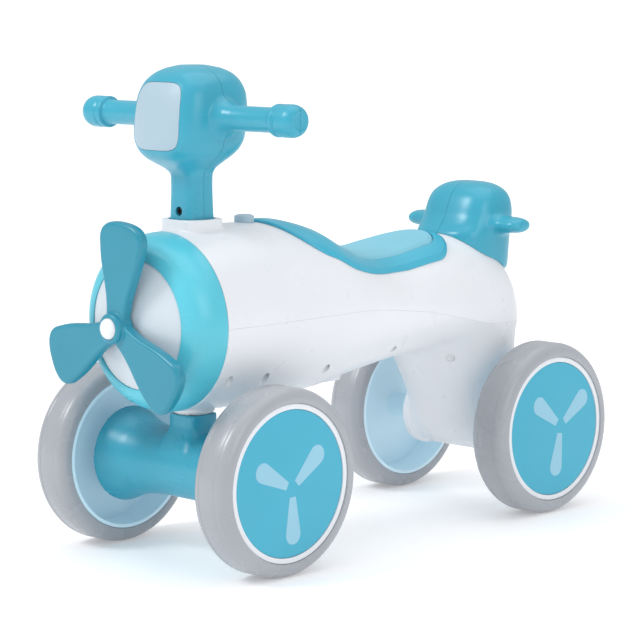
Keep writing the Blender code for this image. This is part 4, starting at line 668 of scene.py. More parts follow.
def column(table, index):
    """(share, value) points of one column of a table of sections."""
    return tuple(sorted((row[0], row[index]) for row in table))


def spread(low, high, count):
    return [low + (high - low) * i / (count - 1) for i in range(count)]


# Looks

COLOUR_NOISE = 14.0        # scales of the noises that drift a colour and a gloss
GLOSS_NOISE = 45.0
GLOSS_DRIFT = 0.03
GRAIN_NOISE = 0.6          # scale of the grain's noise times the size of its grains
GRAIN_HEIGHT = 0.000012


def linear(colour):
    return tuple(((c / 255 + 0.055) / 1.055) ** 2.4 if c > 10 else c / 255 / 12.92 for c in colour)


def spread_to(tree, source, low, high, start=0.3, end=0.7):
    """A node output that runs from low to high while its source runs from start to end."""
    node = tree.nodes.new("ShaderNodeMapRange")
    tree.links.new(source, node.inputs["Value"])
    for socket, value in (("From Min", start), ("From Max", end), ("To Min", low), ("To Max", high)):
        node.inputs[socket].default_value = value
    return node.outputs["Result"]


def look(name, colour, roughness, grain=0.25, grain_size=0.0030, drift=0.05, metallic=0.0, **fixed):
    """A moulded surface: fine grain, and a slow drift of colour and gloss."""
    material = bpy.data.materials.new(name)
    material.use_nodes = True
    material.cycles.emission_sampling = "NONE"
    tree = material.node_tree
    nodes, links = tree.nodes, tree.links
    shader = nodes["Principled BSDF"]
    place = nodes.new("ShaderNodeTexCoord")

    def noise(scale):
        node = nodes.new("ShaderNodeTexNoise")
        node.inputs["Scale"].default_value = scale
        node.inputs["Detail"].default_value = 1.0
        links.new(place.outputs["Object"], node.inputs["Vector"])
        return node.outputs["Fac"]

    base = linear(colour)
    deep = tuple(c * (1 - drift) for c in base)
    pale = tuple(min(1.0, c * (1 + drift * 0.6)) for c in base)
    mix = nodes.new("ShaderNodeMix")
    mix.data_type = "RGBA"
    links.new(spread_to(tree, noise(COLOUR_NOISE), 0.0, 1.0), mix.inputs["Factor"])
    mix.inputs["A"].default_value = (*deep, 1.0)
    mix.inputs["B"].default_value = (*pale, 1.0)
    links.new(mix.outputs["Result"], shader.inputs["Base Color"])
    gloss = spread_to(tree, noise(GLOSS_NOISE), roughness - GLOSS_DRIFT, roughness + GLOSS_DRIFT)
    links.new(gloss, shader.inputs["Roughness"])
    bump = nodes.new("ShaderNodeBump")
    bump.inputs["Strength"].default_value = grain
    bump.inputs["Distance"].default_value = GRAIN_HEIGHT
    links.new(noise(GRAIN_NOISE / grain_size), bump.inputs["Height"])
    links.new(bump.outputs["Normal"], shader.inputs["Normal"])
    shader.inputs["Metallic"].default_value = metallic
    for socket, value in fixed.items():
        shader.inputs[socket.replace("_", " ").title()].default_value = value
    return material


LOOKS = {
    "white": look("white_plastic_finish", (228, 230, 234), 0.30, drift=0.02, grain=0.12),
    "dome": look("dome_plastic_finish", (205, 215, 222), 0.30, drift=0.02, grain=0.12),
    # rim: the rim's inside is tinted light blue as a painted reflection of the teal round it. It also has a
    # faint pale blue glow, painted light that lifts its shade.
    "rim": look("rim_painted_reflection_and_glow_finish", (206, 231, 243), 0.36, drift=0.02, grain=0.12,
                emission_color=(0.60, 0.82, 0.90, 1.0), emission_strength=0.10),
    "teal": look("teal_plastic_finish", (56, 162, 187), 0.30),
    "propeller": look("propeller_plastic_finish", (38, 139, 163), 0.30),
    "cowl": look("cowl_plastic_finish", (90, 195, 214), 0.30, grain=0.2),
    "disc": look("disc_plastic_finish", (66, 173, 200), 0.42, drift=0.03),
    "motif": look("printed_paddle_finish", (148, 199, 220), 0.45, grain=0.2, drift=0.03),
    "saddle": look("saddle_plastic_finish", (63, 173, 200), 0.32),
    "pad": look("soft_pad_finish", (124, 190, 209), 0.60, grain=0.8),
    "tyre": look("soft_tread_finish", (166, 169, 175), 0.26, grain=0.4),
    "frosted": look("frosted_cover_finish", (166, 189, 202), 0.45, grain=0.10, drift=0.03),
    "nylon": look("bush_nylon_finish", (214, 216, 214), 0.45),
    "zinc": look("zinc_steel_finish", (190, 192, 196), 0.3, metallic=1.0, grain=0.4, grain_size=0.0003),
    "black_steel": look("black_steel_finish", (44, 44, 48), 0.38, metallic=1.0, grain=0.4,
                        grain_size=0.0003),
    "black": look("black_plastic_finish", (40, 40, 44), 0.5, grain=0.4),
    "board": look("circuit_board_finish", (24, 92, 54), 0.45, grain=0.4, grain_size=0.0012, drift=0.25),
    "silicone": look("silicone_finish", (96, 98, 102), 0.6),
}

# Fuselage

# Shares of the fuselage's length, and degrees round its rear end, where its sections stand
SKIN_STATIONS = [0.89 * i / 150 for i in range(1, 151)]
END_ANGLES = [4 * i for i in range(1, 20)]
HULL_SKIN = (0.0013, 9)    # voxel size and rounds of smoothing
HAUNCH_ROUNDS = 850        # of smoothing where the leg meets the fuselage
HOLLOW_LEAD = 0.02         # hollow's start ahead of the nose joint
SEAM_HALF = 0.00005        # half the gap along the parting line
LEG_EXTRA_WALL = 0.0035    # leg's wall beyond the fuselage's
COLLAR_FILLET = 0.0022
COLLAR_LIP = 0.0014        # rounding of the collar's top edge
COLLAR_SEAT = 0.00005      # collar's foot inside the fuselage's surface


def fine_hull(grow=0.0, front=0.0, sides=SKIN_SIDES):
    """The fuselage's outer form, grown outwards and lengthened at the front, with its rounded end."""
    rings = [hull_section(HULL_FRONT, grow, sides, at=HULL_FRONT - front)]
    for share in SKIN_STATIONS:
        rings.append(hull_section(hull_place(share), grow, sides))
    for angle in END_ANGLES:
        drop = HULL_END_ROUND * (1 - sin_of(angle))
        scale = (1 - (1 - drop / HULL_END_ROUND) ** HULL_END_POWER) ** (1 / HULL_END_POWER)
        rings.append(hull_section(HULL_END + grow - drop, grow, sides, scale))
    return loft(rings)


def fine_leg(grow=0.0):
    tables = [column(LEG_SECTIONS, i) for i in (1, 2, 3)]
    rings = []
    for share in spread(LEG_SECTIONS[-1][0], LEG_SECTIONS[0][0], 60):
        half, ahead, behind = (smooth_value(table, share) for table in tables)
        height = WHEEL_RADIUS + share * (NOSE_AXIS - WHEEL_RADIUS)
        middle = REAR_AXLE + (behind - ahead) / 2
        power = smooth_value(LEG_POWERS, share)
        ring = rounded_ring(half + grow, (ahead + behind) / 2 + grow, power, PART_SIDES)
        rings.append([(u, middle + v, height - grow) for u, v in ring])
    return loft(rings)


def fine_parting(far, gap):
    """Everything between the parting line and a height, as a solid across the whole width."""
    line = [(hull_place(share), hull_side(share) + gap) for share in spread(-0.1, 1.1, 130)]
    return prism(line + [(line[-1][0], far), (line[0][0], far)], -0.2, 0.2, "X")


# Round dimple on the leg's front corner: a place near it, the way into the shell, and its size
LEG_DIMPLE = (0.0372, 0.1020, 0.1360)
LEG_DIMPLE_LEAN = (-0.55, 0.80, 0.25)
LEG_DIMPLE_RADIUS = 0.0042
LEG_DIMPLE_DEPTH = 0.0030


def leg_dimple(sign, shell):
    """The round dimple low on the leg's front corner, sunk into the shell's own surface."""
    axis = Vector(LEG_DIMPLE_LEAN).normalized()
    start = Vector(LEG_DIMPLE) - axis * 0.03
    start = Vector((sign * start.x, start.y + FRAME_SHIFT, start.z))
    bpy.context.view_layer.update()
    surface = shell.ray_cast(start, Vector((sign * axis.x, axis.y, axis.z)))[1]
    middle = Vector((sign * surface.x, surface.y - FRAME_SHIFT, surface.z))
    turn = Vector((0.0, 0.0, 1.0)).rotation_difference(axis).to_matrix()
    points, faces = turned([
        (-0.010, 0.0), (-0.010, LEG_DIMPLE_RADIUS), (0.0006, LEG_DIMPLE_RADIUS),
        (0.0024, LEG_DIMPLE_RADIUS - 0.0008), (LEG_DIMPLE_DEPTH, 0.0),
    ], SMALL_SIDES, "Z")
    placed = []
    for point in points:
        spot = turn @ Vector(point) + middle
        placed.append((sign * spot.x, spot.y, spot.z))
    return placed, faces


def round_bar(low, high, radius, axis="X", sides=HOLLOW_SIDES):
    """A plain round bar along an axis."""
    return turned([(low, 0.0), (low, radius), (high, radius), (high, 0.0)], sides, axis)


def screw(length=SCREW_LENGTH, radius=SCREW_RADIUS, head=SCREW_HEAD_RADIUS, depth=SCREW_HEAD_HEIGHT):
    """A pan-head screw along Z, its head below 0, and the cutter for its cross recess."""
    body = turned(soften([
        (-depth, 0.0), (-depth, head * 0.8), (-depth * 0.45, head), (0.0, head), (0.0, radius),
        (length * 0.8, radius), (length, 0.0),
    ], 0.0006), SCREW_SIDES, "Z")
    arm, slot = head * 0.62, head * 0.16
    cross = [
        (slot, slot), (arm, slot), (arm, -slot), (slot, -slot), (slot, -arm), (-slot, -arm),
        (-slot, -slot), (-arm, -slot), (-arm, slot), (-slot, slot), (-slot, arm), (slot, arm),
    ]
    return body, prism(cross, -depth - 0.001, -depth * 0.35)


def place_screw(name, place, turn, body, look_name="zinc", slot="zinc_steel", **sizes):
    shape, cross = screw(**sizes)
    turns = {"up": lambda p: p, "back": lambda p: (p[0], -p[2], p[1]), "in": lambda p: (p[0], p[2], p[1])}
    obj = put("fine_" + name, ([turns[turn](p) for p in shape[0]], shape[1]), place)
    cutter = put("cross", ([turns[turn](p) for p in cross[0]], cross[1]), place)
    carve(obj, "DIFFERENCE", cutter)
    show(obj, look_name, body, slot, name)


def fine_collar(top):
    """The collar round the head's foot, with a fillet below and a rounded edge above."""
    rings = []
    for angle in range(0, 91, 9):
        half = COLLAR_HALF + COLLAR_FILLET * (1 - sin_of(angle))
        rise = COLLAR_FILLET * (1 - cos_of(angle)) - COLLAR_SEAT
        ring = [(u, FRONT_AXLE + v) for u, v in rounded_ring(half, half, COLUMN_POWER, FORM_SIDES)]
        rings.append([(x, y, hull_height(x, y) + rise) for x, y in ring])
    low_ring = [(x, y, z - 0.008) for x, y, z in rings[0]]
    for angle in range(0, 91, 9):
        half = COLLAR_HALF - COLLAR_LIP * (1 - cos_of(angle))
        height = top - COLLAR_LIP * (1 - sin_of(angle))
        ring = rounded_ring(half, half, COLUMN_POWER, FORM_SIDES)
        rings.append([(u, FRONT_AXLE + v, height) for u, v in ring])
    return loft([low_ring] + rings)


def build_fuselage():
    belly, collar_top, floor = steering_heights()
    bush_radius = STEM_RADIUS + RUNNING_GAP + STEERING_BUSH_WALL + SEAT_GAP
    hollow = put("hollow", fine_hull(-WALL, HOLLOW_LEAD, PART_SIDES))
    mid_wall = put("mid_wall", fine_hull(-WALL / 2, sides=PART_SIDES))
    add(mid_wall, fine_leg(-WALL / 2))

    lower = put("fine_lower_shell", fine_hull())
    add(lower, fine_leg())
    plinth_back = FRONT_AXLE + PLINTH_BACK
    plinth = box((-PLINTH_HALF_WIDTH, plinth_back - PLINTH_LENGTH, NOSE_AXIS - PLINTH_DROP),
                 (PLINTH_HALF_WIDTH, plinth_back, NOSE_AXIS - PLINTH_DROP + 0.02))
    add(lower, plinth)
    band = LEG_HALF_WIDTH - LEG_BAND
    axle = (0.0, REAR_AXLE, WHEEL_RADIUS)
    add(lower, round_bar(-band, band, LEG_WAIST), axle)
    blended(lower, *HULL_SKIN)
    melt(lower, haunch_weight, HAUNCH_ROUNDS)
    carve(lower, "DIFFERENCE", hollow, keep=True)
    leg_hollow = put("leg_hollow", fine_leg(-WALL - LEG_EXTRA_WALL))
    cut(leg_hollow, box((-0.1, 0.0, 0.0), (0.1, 0.4, WHEEL_RADIUS + AXLE_RADIUS + WALL)))
    carve(lower, "DIFFERENCE", leg_hollow)
    end_band = soften([
        (band - 0.004, LEG_WAIST - 0.002), (band, LEG_HORN), (LEG_HALF_WIDTH, LEG_HORN),
        (LEG_HALF_WIDTH, AXLE_RADIUS + SEAT_GAP), (band - 0.004, AXLE_RADIUS + SEAT_GAP),
    ], 0.0012)
    add_both(lower, end_band, FORM_SIDES, axle)

    posts, bores, upper_posts, dimples = [], [], [], []
    for x, y in shell_screw_places():
        side, seat = hull_side(hull_share(y)), screw_seat(y)
        if y > LEG_DIMPLE[1] - 0.01:
            dimples.append(leg_dimple(math.copysign(1.0, x), lower))
            continue
        posts.append(moved(round_bar(0.0, side + 0.01, POST_RADIUS, "Z", POST_SIDES), x, y))
        post = round_bar(side - 0.01, side + 0.2, POST_RADIUS - 0.001, "Z", POST_SIDES)
        upper_posts.append(moved(post, x, y))
        pilot = SCREW_RADIUS + SEAT_GAP
        bores.append(moved(turned([
            (0.0, 0.0), (0.0, RECESS_RADIUS), (seat, RECESS_RADIUS), (seat, pilot), (seat + 0.03, pilot),
            (seat + 0.03, 0.0),
        ], SCREW_SIDES, "Z"), x, y))
    post_tool = put("posts", joined(posts))
    carve(post_tool, "INTERSECT", mid_wall, keep=True)
    carve(lower, "UNION", post_tool)
    boss_radius = bush_radius + STEERING_BUSH_FLANGE + 0.002
    boss = round_bar(belly - BOSS_DROP, belly + BUSH_DEPTH, boss_radius, "Z", PART_SIDES)
    add(lower, boss, STEERING_AXIS)
    stem_bore = moved(round_bar(0.0, belly + 3 * BUSH_DEPTH, bush_radius, "Z"), y=FRONT_AXLE)
    cut(lower, joined(bores + dimples + [stem_bore]))
    cut(lower, round_bar(-0.1, 0.1, AXLE_RADIUS + SEAT_GAP), axle)
    cut(lower, fine_parting(0.5, -SEAM_HALF))
    trim = put("trim", box((-0.2, HULL_FRONT - 0.1, 0.0), (0.2, HULL_FRONT + SEAT_GAP, 1.0)))
    carve(lower, "DIFFERENCE", trim, keep=True)
    show(lower, "white", "chassis", "white_shell", "fuselage_lower_shell")

    upper = put("fine_upper_shell", fine_hull())
    carve(upper, "DIFFERENCE", hollow)
    upper_tool = put("upper_posts", joined(upper_posts))
    carve(upper_tool, "INTERSECT", mid_wall)
    carve(upper, "UNION", upper_tool)
    add(upper, fine_collar(collar_top))
    foot_corner = HEAD_SECTIONS[0][1] * math.sqrt(2) * 0.5 ** (1 / COLUMN_POWER)
    sweep = (foot_corner + RUNNING_GAP) / math.cos(math.pi / CAD_SIDES)
    bore = turned([
        (floor - 5 * BUSH_DEPTH, 0.0), (floor - 5 * BUSH_DEPTH, bush_radius), (floor, bush_radius),
        (floor, sweep), (collar_top + 0.02, sweep), (collar_top + 0.02, 0.0),
    ], PART_SIDES, "Z")
    cut(upper, bore, STEERING_AXIS)
    button_y = button_place()
    button_top = hull_height(0.0, button_y)
    hole = round_bar(button_top - 0.03, button_top + 0.03, BUTTON_RADIUS + RUNNING_GAP, "Z")
    cut(upper, hole, (0.0, button_y, 0.0))
    cut(upper, fine_parting(-0.1, SEAM_HALF))
    carve(upper, "DIFFERENCE", trim)
    show(upper, "white", "chassis", "white_shell", "fuselage_upper_shell")
    for number, (x, y) in enumerate(shell_screw_places(), 1):
        place_screw(f"shell_screw_{number}", (x, y, screw_seat(y) - SEAT_GAP), "up", "chassis")


# Wheels

RIM_RISE = 0.0008          # rim's white ring beyond the disc's face
PRINT_THICKNESS = 0.00012
# Paddles of the discs' printed pattern: their turns from straight back, and its centre on the disc
PADDLE_TURNS = {"front": (41.0, 152.0, 271.0), "rear": (36.5, 144.5, 260.5)}
PADDLE_CENTRES = {"front": (0.0024, -0.0046), "rear": (0.0085, 0.0012)}
PADDLE_REACH = 0.0440


def paddle(angle, centre):
    """One rounded paddle of the disc's pattern, as (back, up) points."""
    tip = 0.0080
    right = [(0.0033, 0.0062), (0.0072, 0.0300)]
    right += [(tip * cos_of(a), PADDLE_REACH - tip + tip * sin_of(a))
              for a in range(0, 91, 10)]
    outline = right + [(-u, v) for u, v in right[-2::-1]]
    cosine, sine = cos_of(angle), sin_of(angle)
    return [(centre[0] + v * cosine - u * sine, centre[1] + v * sine + u * cosine) for u, v in outline]


def build_wheels():
    for end, half_track, spool_half, y in (
        ("front", FRONT_HALF_TRACK, YOKE_HALF_WIDTH, FRONT_AXLE),
        ("rear", REAR_HALF_TRACK, LEG_HALF_WIDTH, REAR_AXLE),
    ):
        hub = hub_inner(half_track, spool_half)
        for side, sign in (("left", 1), ("right", -1)):
            build_wheel(end, side, (sign * half_track, y, WHEEL_RADIUS), hub)


def build_wheel(end, side, place, hub):
    name, half_turn = f"{end}_{side}", side == "right"
    body = name + "_wheel"
    shoulder = WHEEL_RADIUS - TYRE_SHOULDER
    tread = TYRE_HALF - TYRE_SHOULDER
    groove = [(tread + 0.0003, -0.0001), (tread - 0.0004, -0.00035), (tread - 0.0011, -0.0001)]
    tyre = [(-TYRE_HALF, TYRE_BORE + 0.0006)]
    tyre += arc((-tread, shoulder), TYRE_SHOULDER, 180, 92, 16)
    tyre += [(-x, WHEEL_RADIUS + drop) for x, drop in groove]
    tyre += [(x, WHEEL_RADIUS + drop) for x, drop in groove[::-1]]
    tyre += arc((tread, shoulder), TYRE_SHOULDER, 88, 0, 16)
    tyre += [
        (TYRE_HALF, TYRE_BORE + 0.0006), (TYRE_HALF - 0.0006, TYRE_BORE), (0.0006 - TYRE_HALF, TYRE_BORE),
    ]
    tyre_piece = put(f"fine_{name}_tyre", turned(tyre, SKIN_SIDES), place, half_turn)
    show(tyre_piece, "tyre", body, "soft_tread", name + "_tyre")

    outside = TYRE_BORE - SEAT_GAP
    face = TYRE_HALF - DISC_SINK
    ledge = face - DISC_THICKNESS - SEAT_GAP
    inside = outside - RIM_WALL
    bore = BUSH_RADIUS + SEAT_GAP
    ring = face + RIM_RISE
    rim = soften([
        (-TYRE_HALF + 0.0004, outside), (ring, outside), (ring, DISC_RADIUS + SEAT_GAP),
        (ledge, DISC_RADIUS + SEAT_GAP), (ledge, DISC_RADIUS - DISC_LEDGE),
        (HUB_OUTER, HUB_RADIUS + 0.002), (HUB_OUTER, bore), (hub, bore), (hub, HUB_RADIUS),
        (HUB_OUTER - 0.005, HUB_RADIUS + 0.001), (ledge - 0.004, inside - 0.0012),
        (0.0040 - TYRE_HALF, inside - 0.0006), (0.0034 - TYRE_HALF, inside - 0.0002),
        (0.0030 - TYRE_HALF, inside - 0.0009), (-TYRE_HALF + 0.0004, inside - 0.0006),
    ], 0.0004)
    rim_piece = put(f"fine_{name}_rim", turned(rim, SKIN_SIDES), place, half_turn)
    show(rim_piece, "rim", body, "white_shell", name + "_rim")
    # The rim's inside, in shade, keeps the rim look with its painted reflection and painted glow; the faces
    # out past the disc's ledge get the plain white
    rim_piece.data.materials.append(LOOKS["white"])
    for polygon in rim_piece.data.polygons:
        if abs(polygon.center.x) > abs(place[0]) + ledge + 0.0002:
            polygon.material_index = 1

    back = face - DISC_THICKNESS
    disc = soften([(back, 0.0), (back, DISC_RADIUS), (face, DISC_RADIUS), (face, 0.0)], 0.0005)
    disc_piece = put(f"fine_{name}_disc", turned(disc, SKIN_SIDES), place, half_turn)
    show(disc_piece, "disc", body, "teal_shell", name + "_disc")
    prints = [prism(paddle(turn, PADDLE_CENTRES[end]), face - 0.0002, face + PRINT_THICKNESS, "X")
              for turn in PADDLE_TURNS[end]]
    motif = put(f"{name}_paddles", joined(prints), place, half_turn)
    show(motif, "motif", body, "teal_shell")


# Steering, head and handles

YOKE_SKIN = (0.0009, 10)   # voxel size and rounds of smoothing
HEAD_SKIN = (0.0009, 8)
HEAD_EXTRA_WALL = 0.003
HEAD_HOLLOW_START = 0.43   # share of the head's height
PANEL_POWER = 5.0


def build_yoke():
    place = STEERING_AXIS
    swells = ((0.0, 0.0), (0.20, 0.0), (0.45, 0.05), (0.68, 0.24), (0.85, 0.60), (1.0, 1.0))
    side = [
        (share * YOKE_HALF_WIDTH, YOKE_WAIST + (YOKE_HORN - YOKE_WAIST) * smooth_value(swells, share))
        for share in spread(0.0, 1.0, 60)
    ]
    right = side[1:] + [(YOKE_HALF_WIDTH, 0.0)]
    profile = [(-x, radius) for x, radius in right[::-1]] + [side[0]] + right
    yoke = put("fine_yoke", moved(turned(profile, FORM_SIDES), z=WHEEL_RADIUS), place)
    top = yoke_top()
    rings = []
    for rise in spread(-0.23, 1.0, 50):
        half = COLUMN_HALF + smooth_value(COLUMN_SWELLS, rise)
        height = WHEEL_RADIUS + rise * (top - WHEEL_RADIUS)
        rings.append([(u, v, height) for u, v in rounded_ring(half, half, COLUMN_POWER, PART_SIDES)])
    add(yoke, loft(rings), place)
    blended(yoke, *YOKE_SKIN)
    stem_bottom = WHEEL_RADIUS + AXLE_RADIUS + 0.005
    bore = round_bar(stem_bottom - SEAT_GAP, top + 0.02, STEM_RADIUS + SEAT_GAP, "Z")
    cut(yoke, bore, place)
    through = moved(round_bar(-0.1, 0.1, AXLE_RADIUS + SEAT_GAP), z=WHEEL_RADIUS)
    cut(yoke, through, place)
    cut(yoke, box((-0.03, -0.03, top), (0.03, 0.03, top + 0.02)), place)
    show(yoke, "teal", "steering_assembly", "teal_shell", "front_yoke")


def fine_head(grow=0.0, sides=FORM_SIDES, count=110, start=0.0):
    """The head's outer form from the column's foot up, grown outwards."""
    foot = column_foot()
    tables = [column(HEAD_SECTIONS, i) for i in (1, 2, 3)]
    rings = []
    for share in spread(start, 1.0, count):
        half_x, ahead, behind = (smooth_value(table, share) for table in tables)
        power = HEAD_POWER + (COLUMN_POWER - HEAD_POWER) * max(0.0, 1 - share / 0.40)
        height = foot + HEAD_HEIGHT * share + (grow if share > 0.8 else 0.0)
        ring = rounded_ring(half_x + grow, (ahead + behind) / 2 + grow, power, sides)
        rings.append([(u, (behind - ahead) / 2 + v, height) for u, v in ring])
    return loft(rings)


def fine_panel_outline(grow=0.0):
    middle = column_foot() + (PANEL_TOP + PANEL_BOTTOM) / 2
    half_height = (PANEL_TOP - PANEL_BOTTOM) / 2 + grow
    outline = []
    for u, v in rounded_ring(PANEL_HALF_WIDTH + grow, half_height, PANEL_POWER, FORM_SIDES):
        outline.append((u * (1 - 0.07 * max(0.0, v / half_height)), middle + v))
    return outline


def build_head():
    place = STEERING_AXIS
    foot = column_foot()
    handle_axis = (0.0, FRONT_AXLE, foot + HANDLE_HEIGHT)
    head = put("head", fine_head(), place)
    reach = HEAD_HALF_WIDTH + 0.020
    root = HEAD_HALF_WIDTH - 0.008
    swells = [(HEAD_HALF_WIDTH + out, HANDLE_RADIUS + swell) for out, swell in HANDLE_SWELLS]
    knob = HANDLE_HALF_SPAN - KNOB_LENGTH
    grip = soften([
        (reach - 0.014, 0.0), (reach - 0.014, HANDLE_RADIUS), (knob - 0.0012, HANDLE_RADIUS),
        (knob, KNOB_RADIUS), (knob + 0.0042, KNOB_RADIUS), (knob + 0.0054, KNOB_RADIUS - 0.0010),
        (knob + 0.0076, KNOB_RADIUS), (HANDLE_HALF_SPAN - 0.0070, KNOB_RADIUS),
        (HANDLE_HALF_SPAN - 0.0024, KNOB_RADIUS - 0.0016), (HANDLE_HALF_SPAN, KNOB_FACE),
        (HANDLE_HALF_SPAN, KNOB_FACE - 0.0012), (HANDLE_HALF_SPAN - 0.0004, KNOB_FACE - 0.0018),
        (HANDLE_HALF_SPAN - 0.0004, 0.0),
    ], 0.0016)
    profile = [(root, 0.0), (root, HANDLE_RADIUS + 0.0085)] + swells
    profile += [(reach - 0.008, HANDLE_RADIUS), (reach, HANDLE_RADIUS - 0.0012), (reach, 0.0)]
    add_both(head, profile, PART_SIDES, handle_axis)
    blended(head, *HEAD_SKIN)
    add_both(head, grip, PART_SIDES, handle_axis)
    panel = copy_of(head, "fine_face_panel")
    cut(head, fine_head(-HEAD_WALL - HEAD_EXTRA_WALL, HOLLOW_SIDES, 50, HEAD_HOLLOW_START), place)

    room = put("panel_room", prism(fine_panel_outline(SEAT_GAP), -0.2, -HEAD_HALF_DEPTH * 0.4, "Y"), place)
    cut(room, fine_head(-PANEL_DEPTH - PANEL_SINK), place)
    socket = round_bar(foot - 0.01, foot + PANEL_BOTTOM, STEM_RADIUS + SEAT_GAP, "Z")
    cut(head, socket, place)
    screw_z = foot + STEM_SCREW_RISE
    seat = -STEM_RADIUS - STEM_SCREW_SEAT
    hole = turned([
        (-0.05, 0.0), (-0.05, RECESS_RADIUS), (seat, RECESS_RADIUS), (seat, STEM_SCREW_RADIUS + SEAT_GAP),
        (0.0, STEM_SCREW_RADIUS + SEAT_GAP), (0.0, 0.0),
    ], SMALL_SIDES, "Y")
    front = copy_of(head, "fine_head_front")
    rear = head
    rear.name = "fine_head_rear"
    carve(front, "DIFFERENCE", room)
    cut(front, moved(hole, z=screw_z), place)
    for x, z in head_screw_places():
        recess = turned([
            (-0.011, 0.0), (-0.011, SCREW_RADIUS + SEAT_GAP), (HEAD_SCREW_SEAT, SCREW_RADIUS + SEAT_GAP),
            (HEAD_SCREW_SEAT, RECESS_RADIUS), (0.1, RECESS_RADIUS), (0.1, 0.0),
        ], SMALL_SIDES, "Y")
        cut(rear, moved(recess, x, 0.0, z), place)
    cut(front, box((-0.2, -SEAT_GAP / 2, 0.0), (0.2, 0.3, 0.6)), place)
    cut(rear, box((-0.2, -0.3, 0.0), (0.2, SEAT_GAP / 2, 0.6)), place)
    show(front, "teal", "steering_assembly", "teal_shell", "head_front_shell")
    show(rear, "teal", "steering_assembly", "teal_shell", "head_rear_shell")

    front_part = prism(fine_panel_outline(), -0.2, -HEAD_HALF_DEPTH * 0.5, "Y")
    carve(panel, "INTERSECT", put("panel_prism", front_part, place))
    cut(panel, fine_head(-PANEL_DEPTH - PANEL_SINK + SEAT_GAP), place)
    show(panel, "frosted", "steering_assembly", "frosted_cover", "face_panel")
    for side, (x, z) in zip(("left", "right"), head_screw_places()):
        spot = (x, FRONT_AXLE + HEAD_SCREW_SEAT + SEAT_GAP, z)
        place_screw("head_screw_" + side, spot, "back", "steering_assembly")
    place_screw("stem_screw", (0.0, FRONT_AXLE + seat - SEAT_GAP, screw_z), "in", "steering_assembly",
                "black_steel", "black_steel", length=STEM_SCREW_LENGTH, radius=STEM_SCREW_RADIUS)


# Nose and propeller

PROPELLER_SKIN = (0.0006, 6)  # voxel size and rounds of smoothing


def facing_forward(profile):
    shape = turned([(-along, radius) for along, radius in profile], SKIN_SIDES, "Y")
    return moved(shape, y=HULL_FRONT, z=NOSE_AXIS)


def build_nose():
    opening = DOME_RADIUS + SEAT_GAP
    lip = opening + COWL_LIP
    swell = NOSE_RADIUS - lip
    outer, inner = [], []
    for i in range(31):
        angle = math.radians(3 * i)
        outer.append((COWL_LENGTH * math.sin(angle), lip + swell * math.cos(angle)))
    for i in range(3):
        angle = math.radians(72 * (2 - i) / 2)
        inner.append(((COWL_LENGTH - WALL) * math.sin(angle), lip - WALL + swell * math.cos(angle)))
    ledge = COWL_LENGTH - DOME_EDGE - SEAT_GAP
    spigot = (NOSE_RADIUS - WALL) * math.cos(math.pi / CAD_SIDES) - SEAT_GAP
    cowl = outer + [
        (COWL_LENGTH, opening), (ledge, opening), (ledge, opening - DOME_LEDGE),
        (ledge - WALL, opening - DOME_LEDGE), *inner[:-1], (0.004, spigot - SPIGOT_WALL),
        (-SPIGOT_LENGTH, spigot - SPIGOT_WALL), (-SPIGOT_LENGTH, spigot), (0.0, spigot),
    ]
    cowl_piece = put("fine_cowl", facing_forward(soften(cowl, 0.0005)))
    show(cowl_piece, "cowl", "chassis", "teal_shell", "nose_cowl")
    shaft = PROPELLER_SCREW_RADIUS
    dome = [(COWL_LENGTH - DOME_EDGE, DOME_RADIUS)]
    for i in range(41):
        share = i / 40
        radius = DOME_RADIUS * (1 - share) + (shaft + SEAT_GAP) * share
        rise = (DOME_RISE + 0.0006) * (1 - (radius / DOME_RADIUS) ** 2)
        dome.append((COWL_LENGTH - 0.0006 + rise, radius))
    boss_back = COWL_LENGTH - DOME_BOSS_LENGTH
    dome += [
        (boss_back, shaft + SEAT_GAP), (boss_back, shaft + DOME_BOSS_WALL),
        (COWL_LENGTH - DOME_EDGE, shaft + DOME_BOSS_WALL + 0.001),
    ]
    show(put("fine_dome", facing_forward(dome)), "dome", "chassis", "white_shell", "nose_dome")


def fine_blade_outline():
    """(across, out) points of a paddle blade that widens to a round tip."""
    root = PROPELLER_HUB_RADIUS * 0.55
    shoulder = PROPELLER_RADIUS - BLADE_TIP_HALF * 0.62
    sides = (
        (root, BLADE_ROOT_HALF), (root + 0.012, BLADE_ROOT_HALF * 1.15),
        (shoulder - 0.014, BLADE_TIP_HALF * 0.90), (shoulder, BLADE_TIP_HALF),
    )
    right = [(smooth_value(sides, out), out) for out in spread(root, shoulder, 26)[:-1]]
    for i in range(19):
        angle = math.radians(5 * i)
        across = BLADE_TIP_HALF * math.cos(angle) ** 0.8 if i < 18 else 0.0
        right.append((across, shoulder + (PROPELLER_RADIUS - shoulder) * math.sin(angle) ** 0.8))
    return right + [(-across, out) for across, out in right[-2::-1]]


def fine_blade():
    half, edge = BLADE_THICKNESS / 2, BLADE_ROUND * 0.8
    centre = (PROPELLER_RADIUS + PROPELLER_HUB_RADIUS) / 2
    layers = [(edge * (1 - cos_of(a)), half - edge + edge * sin_of(a))
              for a in range(0, 91, 15)]
    layers = [(inset, -along) for inset, along in layers[::-1]] + layers
    rings = []
    for inset, along in layers:
        narrow, shorten = 1 - inset / BLADE_TIP_HALF, 1 - inset / (PROPELLER_RADIUS - centre)
        rings.append([(across * narrow, along, centre + (out - centre) * shorten)
                      for across, out in fine_blade_outline()])
    return loft(rings)


